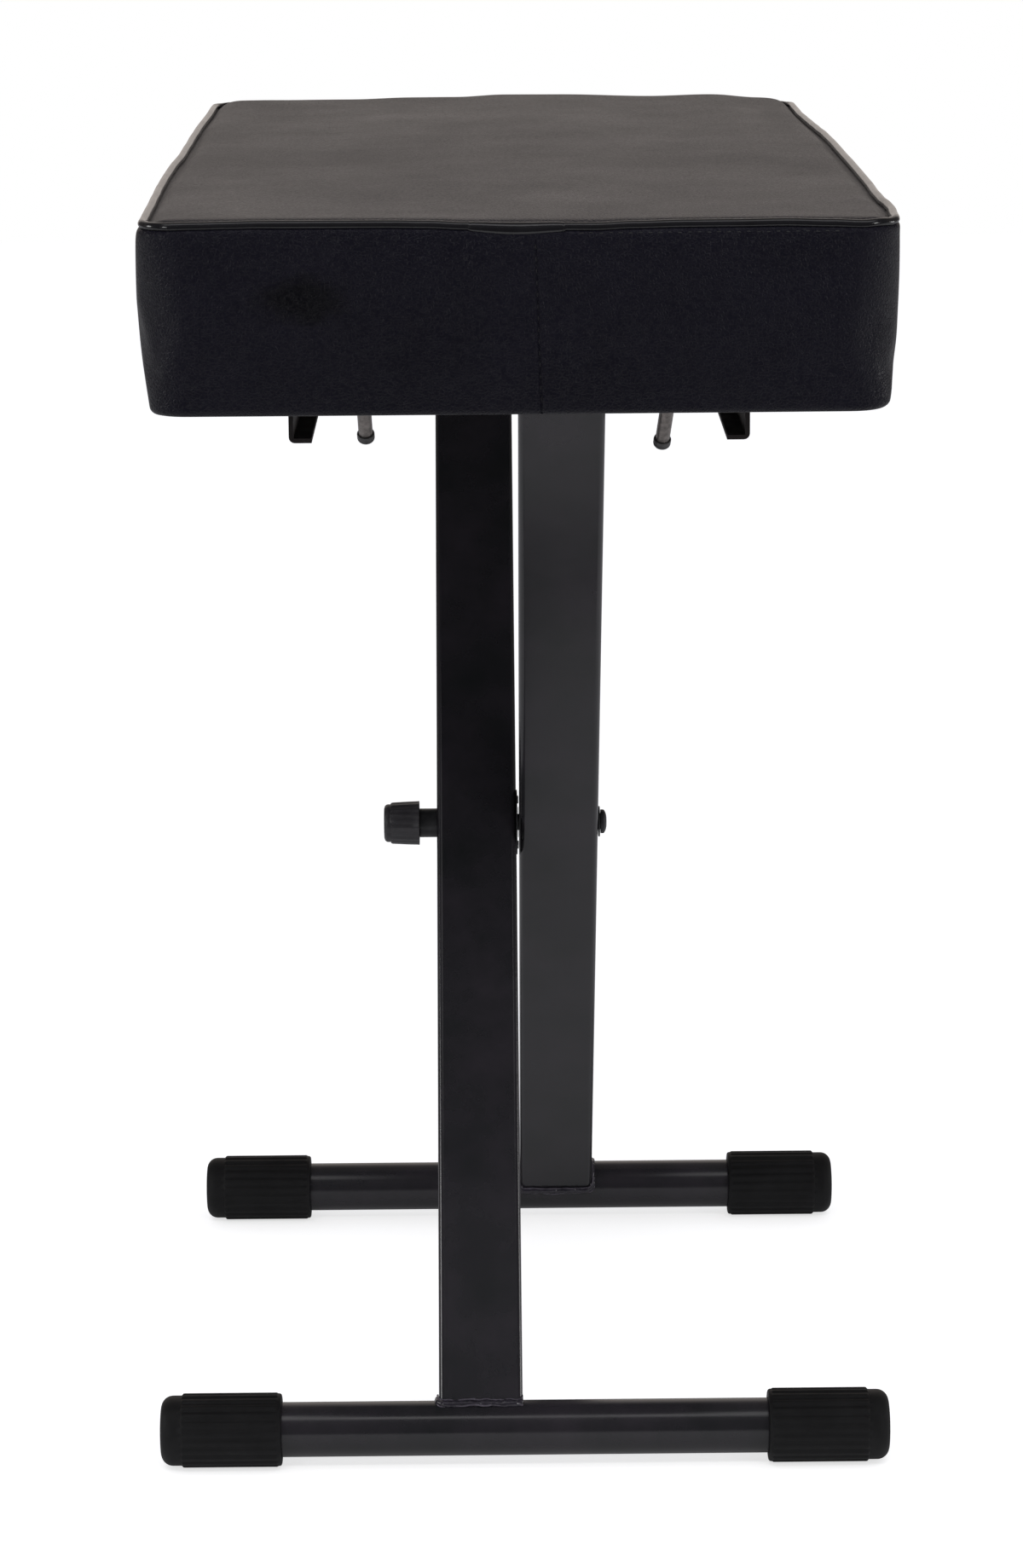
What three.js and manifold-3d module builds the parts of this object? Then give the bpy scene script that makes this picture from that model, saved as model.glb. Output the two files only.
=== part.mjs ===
// Folding keyboard bench: a padded seat on two crossed legs that turn about one lockable pivot.
// Millimetres, +Z up. X runs across the bench, Y along its seat, and the floor is Z = 0.
// The origin is on the floor below the middle of the seat.

import * as THREE from 'three';
import { mergeVertices } from 'three/addons/utils/BufferGeometryUtils.js';
import Module from 'manifold-3d';

const wasm = await Module();
wasm.setup();

// Clearances shared by all pieces
const fit = 0.3;
const overrun = 2;
const mergeDistance = 1e-4;

// Seat: overall form
const seatLength = 610;
const seatWidth = 305;
const seatHeight = 600;
const cushionHeight = 80.5;
const seatCorner = 22;

// Seat: cover, welt and foam
const weltDiameter = 3.7;
const weltHeight = 73.6;
const coverThickness = 1.2;
const hemInset = 4.2;
const hemRound = 6.5;
const hemDrop = 1.5;
const hemSlope = 9;
const hemWidth = 22;
const sideTopInset = 0.3;
const sideBulge = 0.6;
const longSideBow = 1.6;
const shortSideBow = 0.6;
const edgeRise = 2.7;
const seamWeb = 1.5;
const dustCoverThickness = 1;
const cavityFloorRise = 6;

// Seat: board and its fasteners
const boardThickness = 15;
const boltDiameter = 6;
const boltHeadDiameter = 12;
const boltHeadHeight = 4;
const boltEndDepth = 2;
const threadFit = 0.4;
const teeNutBarrel = 8.4;
const teeNutLength = 10;
const teeNutFlange = 18;
const teeNutFlangeThickness = 1.3;

// Slide rails and hinge brackets under the seat
const railInset = 57.3;
const railWidth = 9.5;
const railHeight = 20;
const railWall = 2;
const railBend = 2.5;
const railSetback = 56;
const glideInset = 185;
const hingeInset = 65;
const flangeWidth = 22;
const railBoltInset = 25;
const bracketWall = 3;
const bracketLength = 60;
const bracketBoltSpacing = 40;
const earWidth = 18.6;
const hingePinDiameter = 10;
const hingePinReach = 2;
const shoulderThickness = 1.5;

// Legs and feet
const legWidth = 38;
const legDepth = 19;
const legWall = 1.5;
const legCorner = 3;
const legGap = 2;
const footTubeDiameter = 25.4;
const footTubeWall = 1.5;
const footLength = 338;
const topTubeDiameter = 16;
const topTubeWall = 1.5;
const plugDepth = 10;

// Rubber foot caps
const capDiameter = 34.4;
const capLength = 56;
const capSmoothLength = 9.8;
const capEndThickness = 5;
const capEndRound = 6.5;
const capRibHeight = 1;
const capRibs = 24;
const ribTopShare = 0.5;

// Capped pegs on the near top tube
const pegDiameter = 6.4;
const pegInset = 17.2;
const pegReachLeft = 39.7;
const pegReachRight = 44.8;
const pegTiltLeft = -1.5;
const pegTiltRight = 5;
const pegProud = 1;
const pegCapLength = 4.4;
const pegCapWall = 0.4;
const pegCapEnd = 1.6;

// Pivot
const pivotBoltDiameter = 8;
const pivotHeadDiameter = 11.8;
const pivotHeadHeight = 3;
const pivotHeadRound = 0.8;
const pivotNutFlats = 13;
const pivotNutHeight = 6.5;
const pivotBoltProud = 1.5;
const sleeveWall = 1.8;
const spacerDiameter = 15;
const headWasherDiameter = 15;
const headWasherThickness = 0.8;

// Lock plates and lock pins
const lockPlateDiameter = 32;
const lockPlateThickness = 0.55;
const lockPinDiameter = 4;
const lockCircle = 12;
const lowSeatFold = 30;
const stopGap = 0.5;

// Pull knob and plunger
const knobLength = 17.4;
const knobWideDiameter = 21.6;
const knobNarrowDiameter = 20.2;
const knobButtonDiameter = 18.6;
const knobButtonLength = 3.2;
const knobRound = 1.8;
const knobBoreDepth = 12;
const knobRestGap = 0.4;
const neckDiameter = 14.2;
const neckLength = 8.8;
const spigotDiameter = 10;
const spigotReach = 5;
const stemDiameter = 6;
const stemHeadDiameter = 9;
const stemHeadHeight = 1.5;
const stemNutGap = 3;
const dogPlateThickness = 3;
const dogPlateLength = 31;
const dogPlateCorner = 2;
const springWire = 1.2;
const springTurns = 5;
const springDiameter = 9.6;

// How finely round shapes are cut
const roundSteps = 24;
const smallSteps = 16;
const fineSteps = 12;
const cornerSteps = 4;
const weltSides = 8;
const springSides = 5;
const springStepsPerTurn = 8;
const sideSteps = 6;
const hemSteps = 3;
const seamSteps = 5;
const longSideSteps = 6;
const shortSideSteps = 4;
const crownShares = [0.96, 0.88, 0.7, 0.4];
const crownPower = 6;
const hemPower = 1.8;
const topPower = 3;

// Heights and lean that follow from the sizes above
const seatUnderside = seatHeight - cushionHeight;
const topAxisDrop = fit + railHeight / 2;
const topAxisHeight = seatUnderside - topAxisDrop;
const ribHalfAngle = (ribTopShare * Math.PI) / capRibs;
const footAxisHeight = (capDiameter / 2) * Math.cos(ribHalfAngle);
const nearTopY = glideInset - seatLength / 2;
const farTopY = seatLength / 2 - hingeInset;
const legRise = topAxisHeight - footAxisHeight;
const legReach = farTopY - nearTopY;
const legLength = Math.hypot(legReach, legRise);
const halfLeg = legLength / 2;
const lean = Math.atan2(legReach, legRise);
const pivotY = (farTopY + nearTopY) / 2;
const pivotHeight = (topAxisHeight + footAxisHeight) / 2;

// Faces of the legs across the bench
const legInnerFace = legGap / 2;
const legOuterFace = legInnerFace + legWidth;
const legCentre = legInnerFace + legWidth / 2;

// Rail section, the glides that run in it, and the pegs between the rails
const railOuter = seatWidth / 2 - railInset;
const railInner = railOuter - railWidth;
const pegSpread = railInner - pegInset;
const glideRadius = railHeight / 2 - railWall - fit;
const topTubeHalf = railInner - fit;
const earInner = topTubeHalf + fit + shoulderThickness + fit;
const flangeOuter = railOuter + flangeWidth;
const boltLine = railOuter + flangeWidth / 2;
const railNearY = railSetback - seatLength / 2;
const railStopY = nearTopY + glideRadius + fit;
const railFarY = railStopY + railWall;

// Turn of the legs, in degrees from the photographed stance, at which they lie one on the other
const foldedSeparation = (footTubeDiameter + earWidth) / 2 + stopGap;
const openAngle = 2 * lean;
const foldedAngle = Math.PI - 2 * Math.asin(foldedSeparation / legLength);
const foldStop = THREE.MathUtils.radToDeg(foldedAngle - openAngle);

// Finishes
const finish = (color, roughness, metalness) => ({ color, roughness, metalness });
const blackEnamel = finish(0x242327, 0.32, 0.6);
const blackSteel = finish(0x1d1d1f, 0.45, 0.5);
const barSteel = finish(0x77726e, 0.35, 0.8);
const springSteel = finish(0x8b8b88, 0.3, 0.9);
const zincSteel = finish(0xa3a39e, 0.35, 0.9);
const blackRubber = finish(0x1c1c1d, 0.85, 0);
const blackVinyl = finish(0x2a2829, 0.55, 0);
const weltVinyl = finish(0x17171a, 0.3, 0);
const greyFoam = finish(0x8d8b86, 0.95, 0);
const plywood = finish(0xa98355, 0.75, 0);
const dustCloth = finish(0x141414, 0.95, 0);
const blackPlastic = finish(0x2b2a2c, 0.5, 0);
const glideNylon = finish(0xc9c7bf, 0.5, 0);

// Closed triangle mesh with shared corners and no empty triangles
function closedMesh(geometry) {
  const bare = geometry.index ? geometry.clone() : geometry;
  bare.deleteAttribute('normal');
  bare.deleteAttribute('uv');
  const merged = mergeVertices(bare, mergeDistance);
  const corners = merged.index.array;
  const kept = [];
  for (let at = 0; at < corners.length; at += 3) {
    const [a, b, c] = [corners[at], corners[at + 1], corners[at + 2]];
    if (a !== b && b !== c && c !== a) kept.push(a, b, c);
  }
  merged.setIndex(kept);
  return volumeOf(merged) < 0 ? turnedOut(merged) : merged;
}

// Signed volume: negative when the faces point inwards
function volumeOf(geometry) {
  const place = geometry.attributes.position;
  const corners = geometry.index.array;
  const [a, b, c] = [new THREE.Vector3(), new THREE.Vector3(), new THREE.Vector3()];
  let sum = 0;
  for (let at = 0; at < corners.length; at += 3) {
    a.fromBufferAttribute(place, corners[at]);
    b.fromBufferAttribute(place, corners[at + 1]);
    c.fromBufferAttribute(place, corners[at + 2]);
    sum += a.dot(b.cross(c));
  }
  return sum / 6;
}

function turnedOut(geometry) {
  const corners = Array.from(geometry.index.array);
  for (let at = 0; at < corners.length; at += 3) {
    [corners[at + 1], corners[at + 2]] = [corners[at + 2], corners[at + 1]];
  }
  geometry.setIndex(corners);
  return geometry;
}

function toSolid(geometry) {
  const mesh = closedMesh(geometry);
  return new wasm.Manifold(new wasm.Mesh({
    numProp: 3,
    vertProperties: new Float32Array(mesh.attributes.position.array),
    triVerts: new Uint32Array(mesh.index.array),
  }));
}

function toGeometry(solid) {
  const mesh = solid.getMesh();
  const geometry = new THREE.BufferGeometry();
  geometry.setAttribute('position', new THREE.BufferAttribute(new Float32Array(mesh.vertProperties), 3));
  geometry.setIndex(Array.from(mesh.triVerts));
  return geometry;
}

function cut(body, ...tools) {
  const solid = tools.reduce((left, tool) => left.subtract(toSolid(tool)), toSolid(body));
  return toGeometry(solid);
}

function join(first, ...others) {
  const solid = others.reduce((sum, other) => sum.add(toSolid(other)), toSolid(first));
  return toGeometry(solid);
}

// Solid round bar along X
function roundBar(radius, fromX, toX, steps = roundSteps) {
  const bar = new THREE.CylinderGeometry(radius, radius, Math.abs(toX - fromX), steps);
  bar.rotateZ(Math.PI / 2);
  bar.translate((fromX + toX) / 2, 0, 0);
  return bar;
}

// Round bar along Z
function uprightBar(radius, fromZ, toZ, steps = smallSteps) {
  const bar = new THREE.CylinderGeometry(radius, radius, Math.abs(toZ - fromZ), steps);
  bar.rotateX(Math.PI / 2);
  bar.translate(0, 0, (fromZ + toZ) / 2);
  return bar;
}

// Turned piece about X from a closed outline of [radius, place along X]
function turnedAlongX(outline, steps = roundSteps) {
  const points = outline.map(([radius, along]) => new THREE.Vector2(radius, along));
  points.push(points[0].clone());
  const piece = new THREE.LatheGeometry(points, steps);
  piece.rotateZ(-Math.PI / 2);
  return piece;
}

function tubeAlongX(outerRadius, innerRadius, fromX, toX, steps = roundSteps) {
  return turnedAlongX([
    [outerRadius, fromX],
    [outerRadius, toX],
    [innerRadius, toX],
    [innerRadius, fromX],
  ], steps);
}

// Turned piece about Z, from the same kind of outline
function turnedAlongZ(outline, steps = smallSteps) {
  const piece = turnedAlongX(outline, steps);
  piece.rotateY(-Math.PI / 2);
  return piece;
}

// Rounded rectangle centred on the origin of its plane
function roundedOutline(width, height, radius, kind = THREE.Shape) {
  const [x, y] = [width / 2, height / 2];
  const outline = new kind();
  outline.moveTo(radius - x, -y);
  outline.lineTo(x - radius, -y);
  outline.absarc(x - radius, radius - y, radius, -Math.PI / 2, 0);
  outline.lineTo(x, y - radius);
  outline.absarc(x - radius, y - radius, radius, 0, Math.PI / 2);
  outline.lineTo(radius - x, y);
  outline.absarc(radius - x, y - radius, radius, Math.PI / 2, Math.PI);
  outline.lineTo(-x, radius - y);
  outline.absarc(radius - x, radius - y, radius, Math.PI, 1.5 * Math.PI);
  return outline;
}

function plate(outline, fromZ, toZ, steps = cornerSteps) {
  const body = new THREE.ExtrudeGeometry(outline, {
    depth: toZ - fromZ,
    bevelEnabled: false,
    curveSegments: steps,
  });
  body.translate(0, 0, fromZ);
  return body;
}

// Quarter circle as [radius, along] points, from the end face to the side
function endRounding(radius, round, endX, direction, steps = 3) {
  const points = [];
  for (let step = 0; step <= steps; step += 1) {
    const angle = (Math.PI / 2) * (step / steps);
    points.push([
      radius - round + round * Math.sin(angle),
      endX + direction * round * (1 - Math.cos(angle)),
    ]);
  }
  return points;
}

function piece(group, name, geometry, surface) {
  const body = closedMesh(geometry);
  body.computeVertexNormals();
  const mesh = new THREE.Mesh(body, new THREE.MeshStandardMaterial(surface));
  mesh.name = name;
  group.add(mesh);
  return mesh;
}

// Leg tube: a rectangular tube along Z, saddled on the foot tube and under the top tube
function legTube(side) {
  const section = roundedOutline(legWidth, legDepth, legCorner);
  section.holes.push(
    roundedOutline(legWidth - 2 * legWall, legDepth - 2 * legWall, legCorner - legWall, THREE.Path),
  );
  const tube = plate(section, footTubeDiameter / 4 - halfLeg, halfLeg - topTubeDiameter / 4);
  tube.translate(side * legCentre, 0, 0);
  const reach = legOuterFace + overrun;
  const footSaddle = roundBar(footTubeDiameter / 2 + fit, -reach, reach);
  footSaddle.translate(0, 0, -halfLeg);
  const topSaddle = roundBar(topTubeDiameter / 2 + fit, -reach, reach);
  topSaddle.translate(0, 0, halfLeg);
  return cut(tube, footSaddle, topSaddle);
}

// Cutters for one wall of a leg, seen from the middle of the bench
function innerWallHole(side, radius, steps = smallSteps) {
  const from = legInnerFace - overrun;
  const to = legInnerFace + legWall + overrun;
  return roundBar(radius, side * from, side * to, steps);
}

function outerWallHole(side, radius, steps = smallSteps) {
  const from = legOuterFace - legWall - overrun;
  const to = legOuterFace + overrun;
  return roundBar(radius, side * from, side * to, steps);
}

// A lock hole or pin place, turned from the leg's own length about the pivot
function atLockCircle(geometry, turn, end) {
  geometry.translate(0, 0, end * lockCircle);
  geometry.rotateX(turn);
  return geometry;
}

function footTube() {
  const half = footLength / 2 - capEndThickness - fit;
  return tubeAlongX(footTubeDiameter / 2, footTubeDiameter / 2 - footTubeWall, -half, half);
}

// Foot cap: a smooth rounded end and a ribbed sleeve that grips the tube
function footCap(side, turn) {
  const end = side * (footLength / 2);
  const into = -side;
  const smoothRadius = capDiameter / 2 - capRibHeight;
  const shoulder = end + into * (capSmoothLength + overrun);
  const nose = turnedAlongX([
    [0, end],
    ...endRounding(smoothRadius, capEndRound, end, into),
    [smoothRadius, shoulder],
    [0, shoulder],
  ]);
  const outline = new THREE.Shape();
  for (let rib = 0; rib < capRibs; rib += 1) {
    const middle = (2 * Math.PI * rib) / capRibs - Math.PI / 2;
    const corners = [
      [capDiameter / 2, middle - ribHalfAngle],
      [capDiameter / 2, middle + ribHalfAngle],
      [smoothRadius, middle + Math.PI / capRibs],
    ];
    for (const [radius, angle] of corners) {
      const [x, y] = [radius * Math.cos(angle), radius * Math.sin(angle)];
      if (rib === 0 && angle === corners[0][1]) outline.moveTo(x, y);
      else outline.lineTo(x, y);
    }
  }
  const sleeveFrom = capSmoothLength;
  const sleeve = plate(outline, sleeveFrom, capLength);
  sleeve.rotateZ(Math.PI / 2);
  sleeve.rotateY((into * Math.PI) / 2);
  sleeve.rotateX(into > 0 ? Math.PI : 0);
  sleeve.translate(end, 0, 0);
  const bore = roundBar(
    footTubeDiameter / 2 + fit,
    end + into * capEndThickness,
    end + into * (capLength + overrun),
  );
  const cap = cut(join(nose, sleeve), bore);
  cap.rotateX(turn);
  return cap;
}

function topTube() {
  return tubeAlongX(topTubeDiameter / 2, topTubeDiameter / 2 - topTubeWall, -topTubeHalf, topTubeHalf, 20);
}

// End fittings of the top tubes, as outlines of [radius, distance from the middle]
const plugRadius = topTubeDiameter / 2 - topTubeWall - fit;

function hingePin(side) {
  const shoulderEnd = topTubeHalf + fit + shoulderThickness;
  const pinEnd = earInner + bracketWall + hingePinReach;
  return turnedAlongX([
    [0, topTubeHalf - plugDepth],
    [plugRadius, topTubeHalf - plugDepth],
    [plugRadius, topTubeHalf + fit],
    [topTubeDiameter / 2, topTubeHalf + fit],
    [topTubeDiameter / 2, shoulderEnd],
    [hingePinDiameter / 2, shoulderEnd],
    [hingePinDiameter / 2, pinEnd],
    [0, pinEnd],
  ].map(([radius, along]) => [radius, side * along]), 20);
}

function slideGlide(side) {
  const glideEnd = railOuter - railWall - fit;
  return turnedAlongX([
    [0, topTubeHalf - plugDepth],
    [plugRadius, topTubeHalf - plugDepth],
    [plugRadius, topTubeHalf + fit],
    [glideRadius, topTubeHalf + fit],
    [glideRadius, glideEnd],
    [0, glideEnd],
  ].map(([radius, along]) => [radius, side * along]), 20);
}

// Lock plate on a leg's inner face
function lockPlate(side, turns) {
  const outer = side * legInnerFace;
  const inner = side * (legInnerFace - lockPlateThickness);
  const disc = tubeAlongX(lockPlateDiameter / 2, pivotBoltDiameter / 2 + fit, inner, outer);
  const holes = turns.flatMap((turn) => [-1, 1].map((end) => {
    const hole = roundBar(lockPinDiameter / 2 + fit, inner - overrun, outer + overrun, fineSteps);
    return atLockCircle(hole, turn, end);
  }));
  return cut(disc, ...holes);
}

// Leg frame A: near foot, far top tube, pull knob. It is the left leg, and it carries the pivot.
const frameA = new THREE.Group();
frameA.position.set(0, pivotY, pivotHeight);
frameA.rotation.x = -lean;

const stemStart = -(legInnerFace + legWall + fit + pivotNutHeight + pivotBoltProud + stemNutGap);
const dogFace = stemStart - stemHeadHeight - fit;
const dogBack = dogFace - dogPlateThickness;
const neckEnd = -(legOuterFace + fit + neckLength);
const knobFace = neckEnd - knobRestGap;
const knobEnd = knobFace - knobLength;
const spigotEnd = -(legOuterFace - legWall - spigotReach);
const lockTipFace = legInnerFace - lockPlateThickness - fit;

function buildFrameA() {
  const legHoles = [
    outerWallHole(-1, spigotDiameter / 2 + fit),
    innerWallHole(-1, pivotBoltDiameter / 2 + fit),
    ...[-1, 1].map((end) => atLockCircle(innerWallHole(-1, lockPinDiameter / 2 + fit, fineSteps), 0, end)),
  ];
  piece(frameA, 'left_leg_tube', cut(legTube(-1), ...legHoles), blackEnamel);

  const foot = piece(frameA, 'near_foot_tube', footTube(), blackEnamel);
  foot.position.z = -halfLeg;
  for (const [side, name] of [[-1, 'near_foot_cap_left'], [1, 'near_foot_cap_right']]) {
    const cap = piece(frameA, name, footCap(side, lean), blackRubber);
    cap.position.z = -halfLeg;
  }

  const top = piece(frameA, 'far_top_tube', topTube(), blackEnamel);
  top.position.z = halfLeg;
  for (const [side, name] of [[-1, 'hinge_pin_left'], [1, 'hinge_pin_right']]) {
    const pin = piece(frameA, name, hingePin(side), zincSteel);
    pin.position.z = halfLeg;
  }
  piece(frameA, 'left_lock_plate', lockPlate(-1, [0]), blackSteel);
}

function buildPivot() {
  const headFace = legOuterFace + fit + headWasherThickness + fit;
  const boltEnd = -(legInnerFace + legWall + fit + pivotNutHeight + pivotBoltProud);
  const headEnd = headFace + pivotHeadHeight;
  piece(frameA, 'pivot_bolt', turnedAlongX([
    [0, boltEnd],
    [pivotBoltDiameter / 2, boltEnd],
    [pivotBoltDiameter / 2, headFace],
    [pivotHeadDiameter / 2, headFace],
    [pivotHeadDiameter / 2, headEnd - pivotHeadRound],
    [pivotHeadDiameter / 2 - pivotHeadRound, headEnd],
    [0, headEnd],
  ], smallSteps), blackSteel);

  const nutFrom = -(legInnerFace + legWall + fit);
  const nutRadius = pivotNutFlats / 2 / Math.cos(Math.PI / 6);
  const nut = roundBar(nutRadius, nutFrom - pivotNutHeight, nutFrom, 6);
  const thread = roundBar(
    pivotBoltDiameter / 2 + fit,
    nutFrom - pivotNutHeight - overrun,
    nutFrom + overrun,
    smallSteps,
  );
  piece(frameA, 'pivot_nut', cut(nut, thread), zincSteel);

  const spacerHalf = legInnerFace - lockPlateThickness - fit;
  piece(frameA, 'pivot_spacer', tubeAlongX(
    spacerDiameter / 2,
    pivotBoltDiameter / 2 + fit,
    -spacerHalf,
    spacerHalf,
    smallSteps,
  ), zincSteel);
  piece(frameA, 'head_washer', tubeAlongX(
    headWasherDiameter / 2,
    pivotBoltDiameter / 2 + fit,
    legOuterFace + fit,
    legOuterFace + fit + headWasherThickness,
    smallSteps,
  ), blackSteel);
}

// Knob barrel: the neck outside the leg and a spigot through its wall
function buildBarrel() {
  const bore = stemDiameter / 2 + fit;
  const neckStart = -(legOuterFace + fit);
  piece(frameA, 'knob_barrel', turnedAlongX([
    [bore, neckEnd],
    [neckDiameter / 2, neckEnd],
    [neckDiameter / 2, neckStart],
    [spigotDiameter / 2, neckStart],
    [spigotDiameter / 2, spigotEnd],
    [bore, spigotEnd],
  ], 20), blackSteel);
}

// Knob body: the grip, its stem, the dog plate with two lock pins, and the return spring
function buildKnob() {
  const bore = stemDiameter / 2 + fit;
  const boreEnd = knobFace - knobBoreDepth;
  const buttonEnd = knobEnd + knobButtonLength;
  piece(frameA, 'knob_grip', turnedAlongX([
    [0, knobEnd],
    ...endRounding(knobButtonDiameter / 2, knobRound, knobEnd, 1),
    [knobButtonDiameter / 2, buttonEnd],
    [knobNarrowDiameter / 2, buttonEnd + overrun / 2],
    [knobWideDiameter / 2, knobFace],
    [bore, knobFace],
    [bore, boreEnd],
    [0, boreEnd],
  ]), blackPlastic);

  piece(frameA, 'knob_stem', turnedAlongX([
    [0, boreEnd + fit],
    [stemDiameter / 2, boreEnd + fit],
    [stemDiameter / 2, stemStart - stemHeadHeight],
    [stemHeadDiameter / 2, stemStart - stemHeadHeight],
    [stemHeadDiameter / 2, stemStart],
    [0, stemStart],
  ], smallSteps), zincSteel);

  const dogWidth = legDepth - 2 * legWall - 2 * fit;
  const dog = plateAcrossLeg(dogPlateLength, dogWidth, dogPlateCorner, [dogBack, dogFace]);
  const stemHole = roundBar(stemDiameter / 2 + fit, dogBack - overrun, dogFace + overrun, smallSteps);
  const pinHoles = [-1, 1].map((end) => atLockCircle(
    roundBar(lockPinDiameter / 2 + fit, dogBack - overrun, dogFace + overrun, fineSteps),
    0,
    end,
  ));
  piece(frameA, 'dog_plate', cut(dog, stemHole, ...pinHoles), zincSteel);

  for (const [end, name] of [[1, 'lock_pin_upper'], [-1, 'lock_pin_lower']]) {
    const pin = roundBar(lockPinDiameter / 2, dogBack, lockTipFace, fineSteps);
    piece(frameA, name, atLockCircle(pin, 0, end), zincSteel);
  }
}

// A flat plate whose faces look along X, with its length along the leg
function plateAcrossLeg(length, width, corner, [fromX, toX]) {
  const body = plate(roundedOutline(width, length, corner), fromX, toX, 2);
  body.rotateX(Math.PI / 2);
  body.rotateZ(Math.PI / 2);
  return body;
}

// Return spring: a coil about X between the barrel's spigot and the dog plate
class Coil extends THREE.Curve {
  constructor(fromX, toX, radius, turns) {
    super();
    Object.assign(this, { fromX, toX, radius, turns });
  }

  getPoint(share, target = new THREE.Vector3()) {
    const angle = 2 * Math.PI * this.turns * share;
    const along = this.fromX + (this.toX - this.fromX) * share;
    return target.set(along, this.radius * Math.cos(angle), this.radius * Math.sin(angle));
  }
}

function buildSpring() {
  const clear = springWire / 2 + fit;
  const coil = new Coil(spigotEnd + clear, dogBack - clear, springDiameter / 2, springTurns);
  const section = new THREE.Shape();
  section.absarc(0, 0, springWire / 2, 0, 2 * Math.PI);
  const wire = new THREE.ExtrudeGeometry(section, {
    extrudePath: coil,
    steps: springTurns * springStepsPerTurn,
    curveSegments: springSides,
  });
  piece(frameA, 'lock_spring', wire, springSteel);
}

// Leg frame B: far foot, near top tube with glides and capped pegs. It is the right leg.
const frameB = new THREE.Group();
frameB.position.set(0, pivotY, pivotHeight);
frameB.rotation.x = lean;

// The lock pins seen from leg B at each stance: tall seat, low seat, folded flat
const lockTurns = [0, lowSeatFold, foldStop].map(
  (fold) => -(openAngle + THREE.MathUtils.degToRad(fold)),
);

function buildFrameB() {
  const sleeveRadius = pivotBoltDiameter / 2 + fit + sleeveWall;
  const foldedHoles = [-1, 1].map((end) => atLockCircle(
    innerWallHole(1, lockPinDiameter / 2 + fit, fineSteps),
    lockTurns[2],
    end,
  ));
  const legHoles = [
    outerWallHole(1, sleeveRadius + fit),
    innerWallHole(1, sleeveRadius + fit),
    ...foldedHoles,
  ];
  piece(frameB, 'right_leg_tube', cut(legTube(1), ...legHoles), blackEnamel);
  piece(frameB, 'pivot_sleeve', tubeAlongX(
    sleeveRadius,
    pivotBoltDiameter / 2 + fit,
    legInnerFace,
    legOuterFace,
    smallSteps,
  ), zincSteel);
  piece(frameB, 'right_lock_plate', lockPlate(1, lockTurns), blackSteel);

  const foot = piece(frameB, 'far_foot_tube', footTube(), blackEnamel);
  foot.position.z = -halfLeg;
  for (const [side, name] of [[-1, 'far_foot_cap_left'], [1, 'far_foot_cap_right']]) {
    const cap = piece(frameB, name, footCap(side, -lean), blackRubber);
    cap.position.z = -halfLeg;
  }

  const pegHoles = [[-1, pegTiltLeft], [1, pegTiltRight]].map(([side, tilt]) => {
    const hole = uprightBar(pegDiameter / 2 + fit, -topTubeDiameter, topTubeDiameter, fineSteps);
    hole.rotateY(THREE.MathUtils.degToRad(tilt));
    hole.translate(side * pegSpread, 0, 0);
    return hole;
  });
  const top = piece(frameB, 'near_top_tube', cut(topTube(), ...pegHoles), blackEnamel);
  top.position.z = halfLeg;
  for (const [side, name] of [[-1, 'slide_glide_left'], [1, 'slide_glide_right']]) {
    const glide = piece(frameB, name, slideGlide(side), glideNylon);
    glide.position.z = halfLeg;
  }
}

// Pegs: steel rods through the near top tube, in line with the leg, with vinyl tips
function buildPegs() {
  const sides = [
    [-1, pegReachLeft, pegTiltLeft, 'left_peg', 'left_peg_cap'],
    [1, pegReachRight, pegTiltRight, 'right_peg', 'right_peg_cap'],
  ];
  for (const [side, reach, tilt, rodName, capName] of sides) {
    const rodStart = pegCapEnd + fit - reach;
    const rod = uprightBar(pegDiameter / 2, rodStart, topTubeDiameter / 2 + pegProud, fineSteps);
    const capRadius = pegDiameter / 2 + fit + pegCapWall;
    const cap = turnedAlongZ([
      [0, -reach],
      ...endRounding(capRadius, pegCapEnd, -reach, 1, 2),
      [capRadius, pegCapLength - reach],
      [pegDiameter / 2 + fit, pegCapLength - reach],
      [pegDiameter / 2 + fit, pegCapEnd - reach],
      [0, pegCapEnd - reach],
    ], fineSteps);
    const pieces = [
      [rodName, rod, barSteel],
      [capName, cap, blackVinyl],
    ];
    for (const [name, body, surface] of pieces) {
      body.rotateY(THREE.MathUtils.degToRad(tilt));
      const part = piece(frameB, name, body, surface);
      part.position.set(side * pegSpread, 0, halfLeg);
    }
  }
}

// Seat: everything below stands on the seat's own underside plane
const seat = new THREE.Group();
seat.position.z = seatUnderside;

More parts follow.
